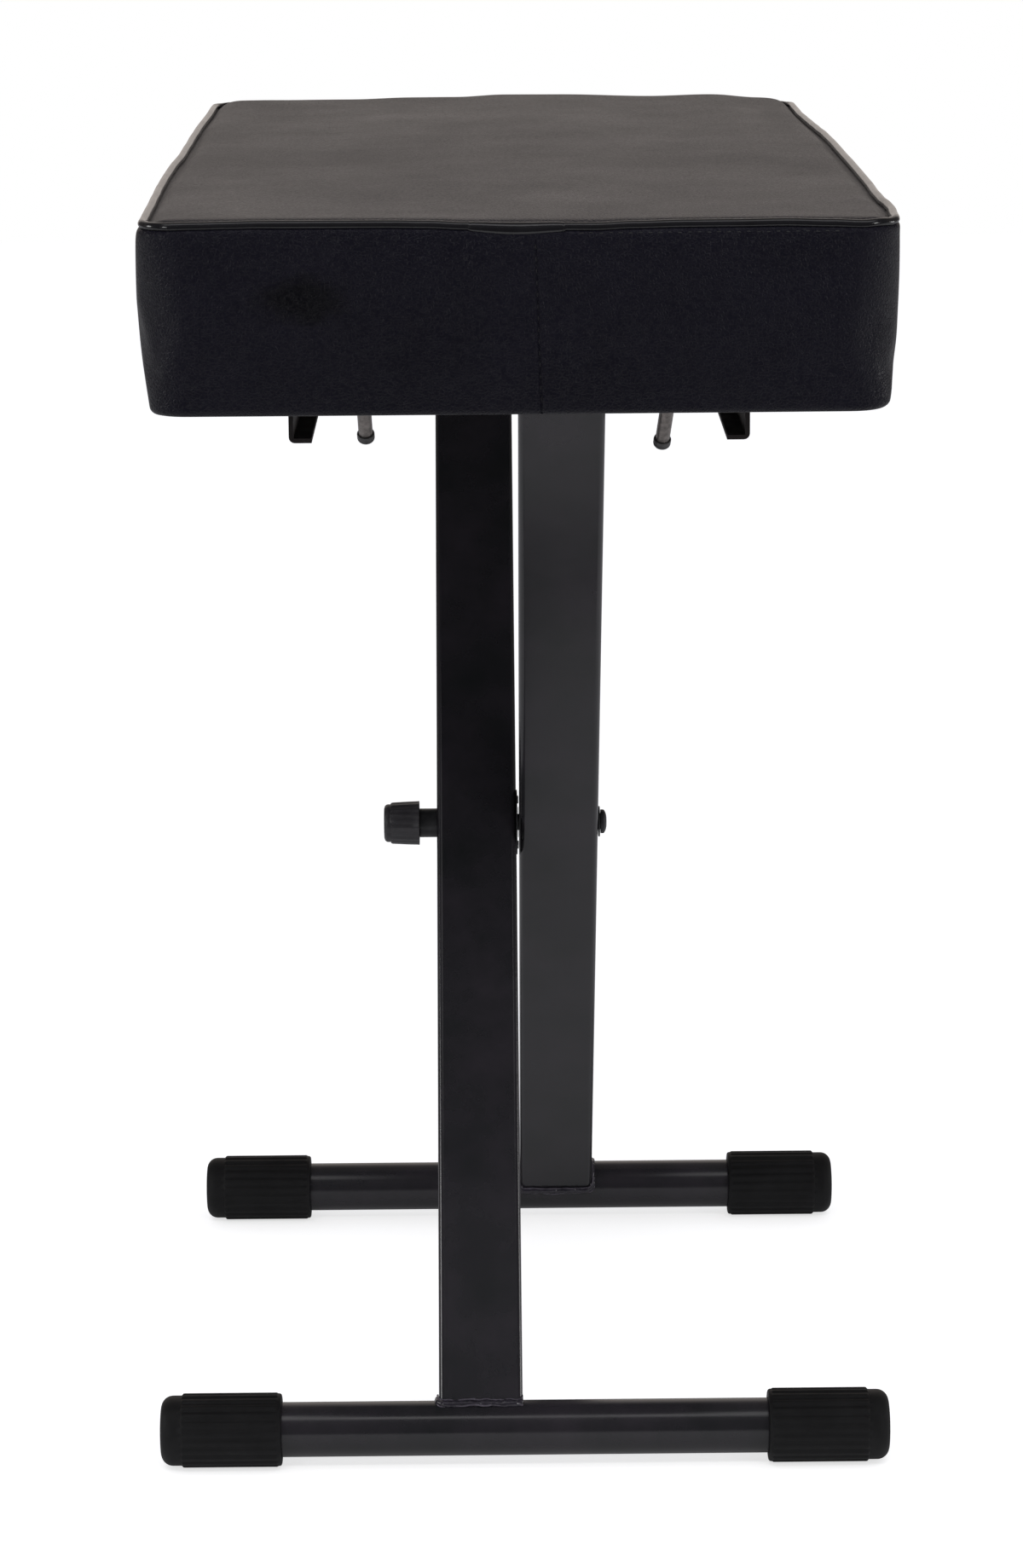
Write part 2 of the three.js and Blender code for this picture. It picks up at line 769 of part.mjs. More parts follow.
// Rim of the cushion seen from above: points with their outward directions, welt line included
function cushionRim() {
  const [x, y, r] = [seatWidth / 2, seatLength / 2, seatCorner];
  const corners = [[1, 1], [-1, 1], [-1, -1], [1, -1]];
  const rim = [];
  corners.forEach(([sx, sy], index) => {
    const start = (index * Math.PI) / 2;
    const centre = [sx * (x - r), sy * (y - r)];
    for (let step = 0; step <= cornerSteps; step += 1) {
      const angle = start + (Math.PI / 2) * (step / cornerSteps);
      const out = [Math.cos(angle), Math.sin(angle)];
      rim.push({ at: [centre[0] + r * out[0], centre[1] + r * out[1]], out });
    }
    const along = index % 2 === 0 ? x - r : y - r;
    const count = index % 2 === 0 ? shortSideSteps : longSideSteps;
    const bow = index % 2 === 0 ? shortSideBow : longSideBow;
    const last = rim[rim.length - 1];
    const heading = [-last.out[1], last.out[0]];
    for (let step = 1; step < count; step += 1) {
      const travel = 2 * along * (step / count);
      const swell = bow * Math.sin(Math.PI * (step / count));
      rim.push({
        at: [
          last.at[0] + heading[0] * travel + last.out[0] * swell,
          last.at[1] + heading[1] * travel + last.out[1] * swell,
        ],
        out: last.out,
      });
    }
  });
  return rim;
}

const rim = cushionRim();

const ringAt = (inset, z) => rim.map(({ at, out }) => [at[0] - inset * out[0], at[1] - inset * out[1], z]);

// A closed skin over rings of equal count, with a middle point in the first and last ring
function loft(rings, firstMiddle, lastMiddle) {
  const count = rings[0].length;
  const places = rings.flat(2).concat(firstMiddle, lastMiddle);
  const index = [];
  const first = rings.length * count;
  for (let ring = 0; ring < rings.length - 1; ring += 1) {
    for (let step = 0; step < count; step += 1) {
      const next = (step + 1) % count;
      const [a, b] = [ring * count + step, ring * count + next];
      const [c, d] = [a + count, b + count];
      index.push(a, b, d, a, d, c);
    }
  }
  for (let step = 0; step < count; step += 1) {
    const next = (step + 1) % count;
    const top = (rings.length - 1) * count;
    index.push(first, next, step, first + 1, top + step, top + next);
  }
  const geometry = new THREE.BufferGeometry();
  geometry.setAttribute('position', new THREE.Float32BufferAttribute(places, 3));
  geometry.setIndex(index);
  return geometry;
}

// Crowned form: a side given as [inset, height] from the bottom up, closed by a domed top
function cushionForm(side, crown) {
  const rings = side.map(([inset, z]) => ringAt(inset, z));
  const [, edgeZ] = side[side.length - 1];
  const edge = rings[rings.length - 1];
  for (const share of crownShares) {
    const z = edgeZ + crown * (1 - share ** crownPower);
    rings.push(edge.map(([x, y]) => [x * share, y * share, z]));
  }
  return loft(rings, [0, 0, side[0][1]], [0, 0, edgeZ + crown]);
}

// How far the side stands in from the welt's line at a height
const sideTop = weltHeight - weltDiameter / 2 - fit;

function sideInset(z) {
  const share = Math.min(Math.max(z / sideTop, 0), 1);
  const hem = hemInset * (1 - share) ** hemPower;
  return hem + sideTopInset * share ** topPower - sideBulge * Math.sin(Math.PI * share);
}

function sideLine(fromZ, toZ, steps, shrink) {
  const line = [];
  for (let step = 0; step <= steps; step += 1) {
    const z = fromZ + (toZ - fromZ) * (step / steps);
    line.push([sideInset(z) + shrink, z]);
  }
  return line;
}

const hemEdge = hemInset + hemRound;
const weltInset = weltDiameter / 2;
const weltGroove = (weltDiameter / 2 + fit) / Math.cos(Math.PI / 2 / seamSteps);
const seamDepth = weltInset + weltGroove + seamWeb;
const topEdgeHeight = weltHeight + edgeRise;
const topCrown = cushionHeight - topEdgeHeight;

// The cover's outside: hem, boxing, the groove that holds the welt, and the crowned top
function coverOutside() {
  const hem = [[hemEdge + hemSlope, 0]];
  for (let step = 0; step < hemSteps; step += 1) {
    const angle = (Math.PI / 2) * (step / hemSteps);
    hem.push([
      hemInset + hemRound * (1 - Math.sin(angle)),
      hemRound * (1 - Math.cos(angle)) - hemDrop,
    ]);
  }
  const boxing = sideLine(hemRound - hemDrop, sideTop - weltGroove / 4, sideSteps, 0);
  const groove = [];
  for (let step = 0; step <= seamSteps; step += 1) {
    const angle = Math.PI * (step / seamSteps - 0.5);
    groove.push([weltInset + weltGroove * Math.cos(angle), weltHeight + weltGroove * Math.sin(angle)]);
  }
  return cushionForm([...hem, ...boxing, ...groove], cushionHeight - weltHeight - weltGroove);
}

// The space inside the cover, taken in by a share of clearance for the foam
function cushionInside(bottom, extra) {
  const shrink = coverThickness + extra;
  const top = topEdgeHeight - coverThickness - extra;
  const shoulder = weltHeight - weltGroove - seamWeb;
  return [
    ...sideLine(bottom, shoulder - seamWeb, 3, shrink),
    [seamDepth + extra, shoulder],
    [seamDepth + extra, top],
  ];
}

const boardInset = hemEdge + fit;
const boardBottom = coverThickness + fit;
const boardTop = boardBottom + boardThickness;

function buildCushion() {
  const cavityFloor = [[hemEdge, coverThickness], [hemEdge, cavityFloorRise]];
  const cavity = cushionForm([...cavityFloor, ...cushionInside(boardTop, 0)], topCrown);
  const openInset = 2 * (boardInset + hemWidth);
  const opening = plate(
    roundedOutline(seatWidth - openInset, seatLength - openInset, seatCorner / 2),
    -overrun,
    coverThickness + overrun,
  );
  piece(seat, 'seat_cover', cut(coverOutside(), cavity, opening), blackVinyl);
  piece(seat, 'seat_foam', cushionForm(cushionInside(boardTop + fit, fit), topCrown), greyFoam);

  const rings = [];
  for (let turn = 0; turn < weltSides; turn += 1) {
    const angle = (2 * Math.PI * turn) / weltSides;
    const inset = weltInset + (weltDiameter / 2) * Math.cos(angle);
    rings.push(ringAt(inset, weltHeight + (weltDiameter / 2) * Math.sin(angle)));
  }
  piece(seat, 'seat_welt', closedRing(rings), weltVinyl);
}

// A skin over rings that closes on its own first ring
function closedRing(rings) {
  const count = rings[0].length;
  const index = [];
  for (let ring = 0; ring < rings.length; ring += 1) {
    const beyond = (ring + 1) % rings.length;
    for (let step = 0; step < count; step += 1) {
      const next = (step + 1) % count;
      const [a, b] = [ring * count + step, ring * count + next];
      const [c, d] = [beyond * count + step, beyond * count + next];
      index.push(a, b, d, a, d, c);
    }
  }
  const geometry = new THREE.BufferGeometry();
  geometry.setAttribute('position', new THREE.Float32BufferAttribute(rings.flat(2), 3));
  geometry.setIndex(index);
  return geometry;
}

// Where the seat's bolts go: two through each rail and two through each hinge bracket
const boltPlaces = [-1, 1].flatMap((side) => {
  const word = side < 0 ? 'left' : 'right';
  return [
    { name: `rail_bolt_${word}_near`, x: side * boltLine, y: railNearY + railBoltInset, under: railWall },
    { name: `rail_bolt_${word}_far`, x: side * boltLine, y: railFarY - railBoltInset, under: railWall },
    {
      name: `hinge_bolt_${word}_near`,
      x: side * boltLine,
      y: farTopY - bracketBoltSpacing / 2,
      under: bracketWall,
    },
    {
      name: `hinge_bolt_${word}_far`,
      x: side * boltLine,
      y: farTopY + bracketBoltSpacing / 2,
      under: bracketWall,
    },
  ];
});

function atBolt({ x, y }, geometry) {
  geometry.translate(x, y, 0);
  return geometry;
}

function buildBoard() {
  const outline = roundedOutline(
    seatWidth - 2 * boardInset,
    seatLength - 2 * boardInset,
    seatCorner - boardInset,
  );
  const board = plate(outline, boardBottom, boardTop);
  const sink = teeNutFlangeThickness + fit;
  const holes = boltPlaces.flatMap((place) => [
    atBolt(place, uprightBar(teeNutBarrel / 2 + fit, boardBottom - overrun, boardTop + overrun, fineSteps)),
    atBolt(place, uprightBar(teeNutFlange / 2 + fit, boardTop - sink, boardTop + overrun, fineSteps)),
  ]);
  piece(seat, 'seat_board', cut(board, ...holes), plywood);

  const clothInset = 2 * (boardInset + hemWidth + fit);
  const cloth = plate(
    roundedOutline(seatWidth - clothInset, seatLength - clothInset, seatCorner / 2 - fit),
    0,
    dustCoverThickness,
  );
  const clothHoles = boltPlaces.map((place) => atBolt(
    place,
    uprightBar(boltDiameter / 2 + fit, -overrun, dustCoverThickness + overrun, fineSteps),
  ));
  piece(seat, 'dust_cover', cut(cloth, ...clothHoles), dustCloth);
}

function buildFasteners() {
  for (const place of boltPlaces) {
    const headTop = -(fit + place.under + fit);
    const shankTop = boardTop - boltEndDepth;
    const head = uprightBar(boltHeadDiameter / 2, headTop - boltHeadHeight, headTop, 6);
    const shank = uprightBar(boltDiameter / 2, headTop - boltHeadHeight / 2, shankTop, fineSteps);
    piece(seat, place.name, atBolt(place, join(head, shank)), zincSteel);

    const thread = boltDiameter / 2 + threadFit;
    const flangeTop = boardTop - fit;
    const nut = turnedAlongZ([
      [thread, flangeTop],
      [teeNutFlange / 2, flangeTop],
      [teeNutFlange / 2, flangeTop - teeNutFlangeThickness],
      [teeNutBarrel / 2, flangeTop - teeNutFlangeThickness],
      [teeNutBarrel / 2, flangeTop - teeNutLength],
      [thread, flangeTop - teeNutLength],
    ], fineSteps);
    piece(seat, place.name.replace('bolt', 'tee_nut'), atBolt(place, nut), zincSteel);
  }
}

// Slide rail: a channel with its open side to the middle, a mounting flange and a closed far end
function slideRail(side) {
  const bend = railBend;
  const section = new THREE.Shape();
  const x = (value) => side * value;
  section.moveTo(x(railInner), 0);
  section.lineTo(x(flangeOuter), 0);
  section.lineTo(x(flangeOuter), -railWall);
  section.lineTo(x(railOuter), -railWall);
  section.lineTo(x(railOuter), bend - railHeight);
  for (let step = 1; step <= cornerSteps; step += 1) {
    const angle = (Math.PI / 2) * (step / cornerSteps);
    section.lineTo(
      x(railOuter - bend + bend * Math.cos(angle)),
      bend - railHeight - bend * Math.sin(angle),
    );
  }
  section.lineTo(x(railInner), -railHeight);
  section.lineTo(x(railInner), railWall - railHeight);
  section.lineTo(x(railOuter - railWall), railWall - railHeight);
  section.lineTo(x(railOuter - railWall), -railWall);
  section.lineTo(x(railInner), -railWall);
  const channel = plate(section, 0, railFarY - railNearY);
  channel.rotateX(Math.PI / 2);
  channel.translate(0, railFarY, 0);
  const stop = new THREE.BoxGeometry(railWidth - railBend, railWall, railHeight - railBend);
  stop.translate(
    side * (railInner + (railWidth - railBend) / 2),
    railStopY + railWall / 2,
    -(railHeight - railBend) / 2 - railWall / 2,
  );
  return join(channel, stop);
}

// Hinge bracket: a bolted flange and an ear that holds the far top tube's pin
function hingeBracket(side) {
  const axisDrop = topAxisDrop - fit;
  const ear = new THREE.Shape();
  ear.moveTo(-earWidth / 2, 0);
  ear.lineTo(-earWidth / 2, -axisDrop);
  ear.absarc(0, -axisDrop, earWidth / 2, Math.PI, 2 * Math.PI);
  ear.lineTo(earWidth / 2, 0);
  const cheek = plate(ear, 0, bracketWall, smallSteps / 2);
  cheek.rotateX(Math.PI / 2);
  cheek.rotateZ(Math.PI / 2);
  cheek.translate(side > 0 ? earInner : -earInner - bracketWall, farTopY, 0);
  const width = flangeOuter - earInner;
  const flange = new THREE.BoxGeometry(width, bracketLength, bracketWall);
  flange.translate(side * (earInner + width / 2), farTopY, -bracketWall / 2);
  const boreFrom = earInner - overrun;
  const boreTo = earInner + bracketWall + overrun;
  const bore = roundBar(hingePinDiameter / 2 + fit, side * boreFrom, side * boreTo, 20);
  bore.translate(0, farTopY, -axisDrop);
  return cut(join(cheek, flange), bore);
}

function buildSeatMetal() {
  const sides = [[-1, 'left'], [1, 'right']];
  for (const [side, word] of sides) {
    const parts = [
      [`slide_rail_${word}`, slideRail(side), 'rail'],
      [`hinge_bracket_${word}`, hingeBracket(side), 'hinge'],
    ];
    for (const [name, body, kind] of parts) {
      const holes = boltPlaces
        .filter((place) => place.name.startsWith(kind) && place.x * side > 0)
        .map((place) => {
          const hole = uprightBar(boltDiameter / 2 + fit, -bracketWall - overrun, overrun, fineSteps);
          return atBolt(place, hole);
        });
      const metal = piece(seat, name, cut(body, ...holes), blackSteel);
      metal.position.z = -fit;
    }
  }
}

buildFrameA();
buildPivot();
buildBarrel();
buildKnob();
buildSpring();
buildFrameB();
buildPegs();
buildCushion();
buildBoard();
buildFasteners();
buildSeatMetal();

const bench = new THREE.Group();
bench.add(frameA, frameB, seat);

export default bench;
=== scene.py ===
# %% [markdown]
# # A folding keyboard bench
# The real bench is a padded seat on two crossed steel legs that fold flat about one pivot. Its solid
# model comes first, as a frame with every piece already in place. Here each visible piece gets its
# finer form and its finish, round that frame and never away from it.

# %% Load the frame
import bmesh
import bpy
from math import copysign, cos, exp, pi, radians, sin, sqrt, tau
from mathutils import Matrix, Vector, noise


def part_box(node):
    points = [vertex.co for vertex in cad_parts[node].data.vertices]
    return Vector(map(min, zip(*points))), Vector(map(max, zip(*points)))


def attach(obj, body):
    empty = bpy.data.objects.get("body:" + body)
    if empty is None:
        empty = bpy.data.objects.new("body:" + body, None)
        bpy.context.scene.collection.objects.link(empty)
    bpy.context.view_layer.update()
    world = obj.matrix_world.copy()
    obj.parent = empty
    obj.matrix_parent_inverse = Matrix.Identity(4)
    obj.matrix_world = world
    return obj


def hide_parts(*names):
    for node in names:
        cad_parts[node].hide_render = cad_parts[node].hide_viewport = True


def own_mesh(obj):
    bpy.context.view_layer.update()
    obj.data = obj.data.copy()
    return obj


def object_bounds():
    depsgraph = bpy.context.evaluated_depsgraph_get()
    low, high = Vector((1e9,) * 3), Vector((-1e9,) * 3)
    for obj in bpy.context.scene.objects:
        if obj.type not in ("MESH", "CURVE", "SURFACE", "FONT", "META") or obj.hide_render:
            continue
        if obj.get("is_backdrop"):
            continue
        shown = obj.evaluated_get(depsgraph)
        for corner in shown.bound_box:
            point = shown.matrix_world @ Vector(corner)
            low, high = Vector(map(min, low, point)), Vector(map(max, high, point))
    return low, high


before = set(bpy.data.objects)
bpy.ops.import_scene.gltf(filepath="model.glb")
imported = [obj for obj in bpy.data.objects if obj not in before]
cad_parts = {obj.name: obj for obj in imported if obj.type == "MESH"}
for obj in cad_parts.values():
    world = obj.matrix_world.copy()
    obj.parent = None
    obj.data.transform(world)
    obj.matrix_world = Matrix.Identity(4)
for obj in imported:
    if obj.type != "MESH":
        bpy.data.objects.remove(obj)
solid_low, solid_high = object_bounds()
MM = 0.001
ACROSS = Vector((1, 0, 0))
scene = bpy.context.scene
print("pieces in the frame:", len(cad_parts))

# %% [markdown]
# The camera stands about two metres from the near end of the seat, a little above it, and looks down
# along the bench. It could be aimed by eye, but its place was worked out from the edges of the legs,
# feet and seat, so every piece falls where the photograph has it. The long lens keeps the sides
# nearly parallel.

# %% Camera
IMAGE_HEIGHT, FOCAL_PIXELS, SENSOR_WIDTH = 1839, 5273.3, 36
CAMERA_PLACE = Vector((-12.0, -2088.3, 781.2)) * MM
CAMERA_DOWN, CAMERA_LEFT, CAMERA_ROLL = (radians(turn) for turn in (13.072, -0.236, 0.466))


def link(name, data):
    piece = bpy.data.objects.new(name, data)
    scene.collection.objects.link(piece)
    return piece


def axes_at(place, *axes):
    """The space whose X, Y and Z run along three axes from a place."""
    return Matrix.Translation(place) @ Matrix(axes).transposed().to_4x4()


def look_axes(down, left, roll):
    """Right, up and forward of a camera that looks along +Y before it is turned."""
    forward = Vector((-sin(left) * cos(down), cos(left) * cos(down), -sin(down)))
    level = Vector((cos(left), sin(left), 0))
    rise = Vector((-sin(left) * sin(down), cos(left) * sin(down), cos(down)))
    return level * cos(roll) - rise * sin(roll), level * sin(roll) + rise * cos(roll), forward


right, up, forward = look_axes(CAMERA_DOWN, CAMERA_LEFT, CAMERA_ROLL)
camera_data = bpy.data.cameras.new("photo_camera")
camera_data.sensor_width = SENSOR_WIDTH
camera_data.lens = SENSOR_WIDTH * FOCAL_PIXELS / IMAGE_HEIGHT
camera = link("photo_camera", camera_data)
camera.matrix_world = axes_at(CAMERA_PLACE, right, up, -forward)
scene.camera = camera
print("lens, mm:", round(camera_data.lens, 1))

# %% [markdown]
# A black object shows little but what it mirrors, so the studio matters more than any paint. The real
# one was a white sheet behind and below the bench, a soft lamp overhead and a dim room behind the
# camera. Lamps alone would need many cards, so the world itself is the room: white to every camera
# ray, and to mirrored rays white behind the bench and dim on the camera's side.

# %% Node helpers
def add(tree, kind, sockets=(), **settings):
    """A shader node with its settings made and its sockets filled or linked."""
    made = tree.nodes.new("ShaderNode" + kind)
    for name, value in settings.items():
        setattr(made, name, value)
    for socket, value in dict(sockets).items():
        if isinstance(socket, str):
            target = next(item for item in made.inputs if item.name == socket and item.enabled)
        else:
            target = made.inputs[socket]
        if isinstance(value, bpy.types.NodeSocket):
            tree.links.new(value, target)
        else:
            target.default_value = value
    return made


def reckon(tree, operation, *values, kind="Math"):
    return add(tree, kind, dict(enumerate(values)), operation=operation).outputs[0]


def ranged(tree, value, start, end, low=0.0, high=1.0, way="LINEAR"):
    """Goes from low to high as a value goes from start to end."""
    limits = {"Value": value, "From Min": start, "From Max": end, "To Min": low, "To Max": high}
    made = add(tree, "MapRange", limits, interpolation_type=way)
    return made.outputs["Result"]


def mixed(tree, share, first, second):
    """Two colours mixed. A Mix node has an output for each kind of value, and one of them is enabled."""
    made = add(tree, "Mix", {"Factor": share, "A": first, "B": second}, data_type="RGBA")
    return next(item for item in made.outputs if item.enabled)


# %% Room
scene.view_settings.view_transform = "Standard"
FILL_LIGHT = 0.57
BACKDROP_TINT, ROOM_TINT = (1.0, 0.91, 0.85), (0.93, 0.88, 1.0)
# Brightness at each height, from straight down (0) through the horizon (0.5) to straight up (1).
BACKDROP_LEVELS = ((0.0, 0.2), (0.44, 0.67), (0.76, 0.67), (0.85, 0.25), (0.94, 0.12), (1.0, 0.12))
ROOM_LEVELS = ((0.0, 0.04), (0.5, 0.04), (0.7, 0.08), (0.9, 0.08), (0.93, 0.2), (0.965, 0.22), (1.0, 0.12))
# The sheet's edges, as how far sideways a ray points, and how bright it is beside the sheet.
PAPER_FROM, PAPER_TO, BESIDE_PAPER = 0.3, 0.6, 0.18


def height_ramp(tree, height, levels, tint):
    ramp = add(tree, "ValToRGB", {"Fac": height})
    steps = ramp.color_ramp.elements
    for index, (place, bright) in enumerate(levels):
        step = steps[index] if index < 2 else steps.new(place)
        step.position = place
        step.color = (*(bright * part for part in tint), 1)
    return ramp.outputs["Color"]


world = bpy.data.worlds.new("studio")
scene.world = world
world.use_nodes = True
room = world.node_tree
ray = add(room, "LightPath").outputs
heading = add(room, "SeparateXYZ", {"Vector": add(room, "TexCoord").outputs["Generated"]}).outputs
height = ranged(room, heading["Z"], -1.0, 1.0)
behind = ranged(room, heading["Y"], -0.08, 0.12, way="SMOOTHSTEP")
sideways = reckon(room, "ABSOLUTE", heading["X"])
paper = ranged(room, sideways, PAPER_FROM, PAPER_TO, 1.0, BESIDE_PAPER, way="SMOOTHSTEP")
backdrop = add(room, "VectorMath", {
    0: height_ramp(room, height, BACKDROP_LEVELS, BACKDROP_TINT), "Scale": paper,
}, operation="SCALE").outputs["Vector"]
glare = mixed(room, behind, height_ramp(room, height, ROOM_LEVELS, ROOM_TINT), backdrop)
seen = mixed(room, ray["Is Glossy Ray"], (FILL_LIGHT, FILL_LIGHT, FILL_LIGHT * 1.06, 1), glare)
clear = reckon(room, "MAXIMUM", ray["Is Camera Ray"], ray["Is Transmission Ray"])
sky = room.nodes["Background"]
room.links.new(mixed(room, clear, seen, (1, 1, 1, 1)), sky.inputs["Color"])
sky.inputs["Strength"].default_value = 1.0

# %% Floor
FLOOR_HALF_WIDTH, FLOOR_HALF_LENGTH, FLOOR_FORWARD = 4, 3, 2.15
FLOOR_SHADE, FLOOR_ROUGHNESS = 0.61, 0.9
# The floor glows a little, to the camera so that the sheet comes out white, and less to mirrored rays.
GLOW_SEEN, GLOW_MIRRORED = 0.66, 0.05
shape = bmesh.new()
bmesh.ops.create_grid(shape, x_segments=1, y_segments=1, size=1)
bmesh.ops.scale(shape, vec=(FLOOR_HALF_WIDTH, FLOOR_HALF_LENGTH, 1), verts=shape.verts)
bmesh.ops.translate(shape, vec=(0, FLOOR_FORWARD, 0), verts=shape.verts)
floor_mesh = bpy.data.meshes.new("studio_floor")
shape.to_mesh(floor_mesh)
shape.free()
floor = link("studio_floor", floor_mesh)
floor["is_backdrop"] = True

floor_paint = bpy.data.materials.new("studio_floor")
floor_paint.use_nodes = True
paint = floor_paint.node_tree
floor_ray = add(paint, "LightPath").outputs
shine = reckon(paint, "MULTIPLY", floor_ray["Is Glossy Ray"], GLOW_MIRRORED)
glow = reckon(paint, "MULTIPLY_ADD", floor_ray["Is Camera Ray"], GLOW_SEEN, shine)
floor_shader = paint.nodes["Principled BSDF"].inputs
floor_shader["Base Color"].default_value = (FLOOR_SHADE, FLOOR_SHADE, FLOOR_SHADE, 1)
floor_shader["Roughness"].default_value = FLOOR_ROUGHNESS
floor_shader["Emission Color"].default_value = (1, 1, 1, 1)
paint.links.new(glow, floor_shader["Emission Strength"])
floor_mesh.materials.append(floor_paint)

# %% [markdown]
# Six soft lamps finish the studio. Those above and beside the camera light the bench, and the front
# one isn't mirrored, or it would draw a bar across the legs. The two strips do the opposite: they
# light nothing, and only draw the bright line along each leg's edge.

# %% Lamps
def soft_lamp(name, place, aim, size, power, lights=True, mirrored=True):
    data = bpy.data.lights.new(name, "AREA")
    data.shape = "RECTANGLE"
    data.size, data.size_y = size
    data.energy = power
    lamp = link(name, data)
    lamp.visible_diffuse, lamp.visible_glossy = lights, mirrored
    lamp.location = place
    lamp.rotation_euler = (Vector(aim) - Vector(place)).to_track_quat("-Z", "Y").to_euler()


soft_lamp("overhead_softbox", (0, -0.96, 2.3), (0, -0.6, 0), (2.6, 0.8), 8.5)
soft_lamp("left_softbox", (-1.5, -1.95, 0.8), (0, -0.3, 0.55), (0.4, 0.6), 5)
soft_lamp("right_softbox", (1.7, -1.72, 0.8), (0, -0.3, 0.55), (0.4, 0.6), 7)
soft_lamp("front_softbox", (0, -1.47, 1.55), (0, 0.03, 0.22), (1.6, 0.3), 13, mirrored=False)
soft_lamp("left_strip", (-2.05, -0.22, 0.88), (0, -0.15, 0.1), (0.45, 0.55), 6, lights=False)
soft_lamp("right_strip", (2.08, 0.3, 0.5), (0, -0.15, 0.1), (0.5, 0.4), 3.5, lights=False)

# %% [markdown]
# Every finish is a Principled shader fed by a few textures on Object coordinates, which for these
# pieces are real metres. One recipe serves them all: a colour that is mottled a little, a gloss that
# varies, and two depths of relief. The numbers then say what the stuff is.

# %% Grain of upholstery vinyl
def clouds(tree, where, size, detail=2.0, roughness=0.5):
    """A noise whose patches are of a size in mm."""
    return add(tree, "TexNoise", {
        "Vector": where, "Scale": 1 / (size * MM), "Detail": detail, "Roughness": roughness,
    }).outputs


def pebbled(tree, where, size):
    """Low rounded pebbles parted by fine valleys, none quite like the next."""
    stir = clouds(tree, where, size / 0.7)["Color"]
    reach = 0.8 * size * MM
    stirred = reckon(tree, "MULTIPLY_ADD", stir, (reach, reach, reach), where, kind="VectorMath")
    cells = add(tree, "TexVoronoi", {"Vector": stirred, "Scale": 1 / (size * MM)}, feature="DISTANCE_TO_EDGE")
    return ranged(tree, cells.outputs["Distance"], 0.0, 0.28, way="SMOOTHSTEP")


# %% Recipe for a finish
FINISHES = {}


def stuff(name, dark, light, mottle, gloss, coarse, fine, metallic=0.0, sheen=0.0, level=0.5):
    """A finish: two colours, the size of their patches in mm, the lowest and highest roughness, and two
    reliefs as (size in mm, depth in mm, kind), of which the kind may be left out for plain noise."""
    material = FINISHES[name] = bpy.data.materials.new(name)
    material.use_nodes = True
    tree = material.node_tree
    shader = tree.nodes["Principled BSDF"].inputs
    where = add(tree, "TexCoord").outputs["Object"]
    colour = add(tree, "ValToRGB", {"Fac": clouds(tree, where, mottle, 4.0, 0.6)["Fac"]})
    for step, place, shade in zip(colour.color_ramp.elements, (0.3, 0.7), (dark, light)):
        step.position = place
        step.color = (*shade, 1)
    tree.links.new(colour.outputs["Color"], shader["Base Color"])
    smudges = clouds(tree, where, mottle / 0.4, 5.0, 0.65)["Fac"]
    tree.links.new(ranged(tree, smudges, 0.3, 0.7, *gloss), shader["Roughness"])
    normal = None
    for size, depth, *kind in (coarse, fine):
        if kind == ["cells"]:
            cells = add(tree, "TexVoronoi", {"Vector": where, "Scale": 1 / (size * MM)}, feature="F1")
            relief = cells.outputs["Distance"]
        elif kind == ["pebbles"]:
            relief = pebbled(tree, where, size)
        else:
            relief = clouds(tree, where, size)["Fac"]
        bump = add(tree, "Bump", {"Height": relief, "Strength": 1.0, "Distance": depth * MM})
        if normal:
            tree.links.new(normal, bump.inputs["Normal"])
        normal = bump.outputs["Normal"]
    tree.links.new(normal, shader["Normal"])
    shader["Metallic"].default_value = metallic
    shader["Sheen Weight"].default_value = sheen
    shader["Specular IOR Level"].default_value = level


# %% Marks of use
def rubbed_mark(finish, middle, reach, shade, strength):
    """Blend a ragged patch of another shade into a finish, round a place in mm."""
    tree = FINISHES[finish].node_tree
    colour = tree.nodes["Principled BSDF"].inputs["Base Color"]
    under = colour.links[0].from_socket
    where = add(tree, "TexCoord").outputs["Object"]
    apart = reckon(tree, "SUBTRACT", where, tuple(value * MM for value in middle), kind="VectorMath")
    scaled = reckon(tree, "MULTIPLY", apart, tuple(1 / (value * MM) for value in reach), kind="VectorMath")
    distance = add(tree, "VectorMath", {0: scaled}, operation="LENGTH").outputs["Value"]
    ragged = add(tree, "TexNoise", {"Vector": scaled, "Scale": 1.6, "Detail": 5.0, "Roughness": 0.6})
    torn = reckon(tree, "MULTIPLY_ADD", ragged.outputs["Fac"], 1.1, distance)
    mask = ranged(tree, torn, 0.9, 1.6, strength, 0.0, way="SMOOTHSTEP")
    tree.links.new(mixed(tree, mask, under, (*shade, 1)), colour)


# %% [markdown]
# The steel wears a semi-gloss black enamel, with the faint orange peel of sprayed paint. The bare
# metals differ: black-oxide bolts, bright zinc inside the lock, and dull bar steel for the pegs.

# %% Metal finishes
stuff("frame_enamel", (0.0098, 0.0104, 0.0112), (0.0192, 0.0168, 0.0205), 34, (0.15, 0.24),
      (2.5, 0.012), (0.5, 0.003))
stuff("weld_enamel", (0.012, 0.011, 0.0145), (0.024, 0.021, 0.028), 2, (0.1, 0.2), (1.6, 0.12), (0.5, 0.02))
# The weld toes wear the enamel painted several times lighter: a painted highlight along the toes.
stuff("weld_toe_painted_highlight", (0.035, 0.031, 0.04), (0.07, 0.062, 0.078), 2, (0.15, 0.3), (1.6, 0.1), (0.5, 0.02))
stuff("rail_enamel", (0.0105, 0.0075, 0.0073), (0.018, 0.0135, 0.013), 8, (0.45, 0.6),
      (2, 0.02), (0.4, 0.006), level=0.35)
stuff("black_steel", (0.012, 0.012, 0.013), (0.03, 0.03, 0.032), 6, (0.3, 0.5),
      (1.5, 0.01), (0.3, 0.004), metallic=0.4)
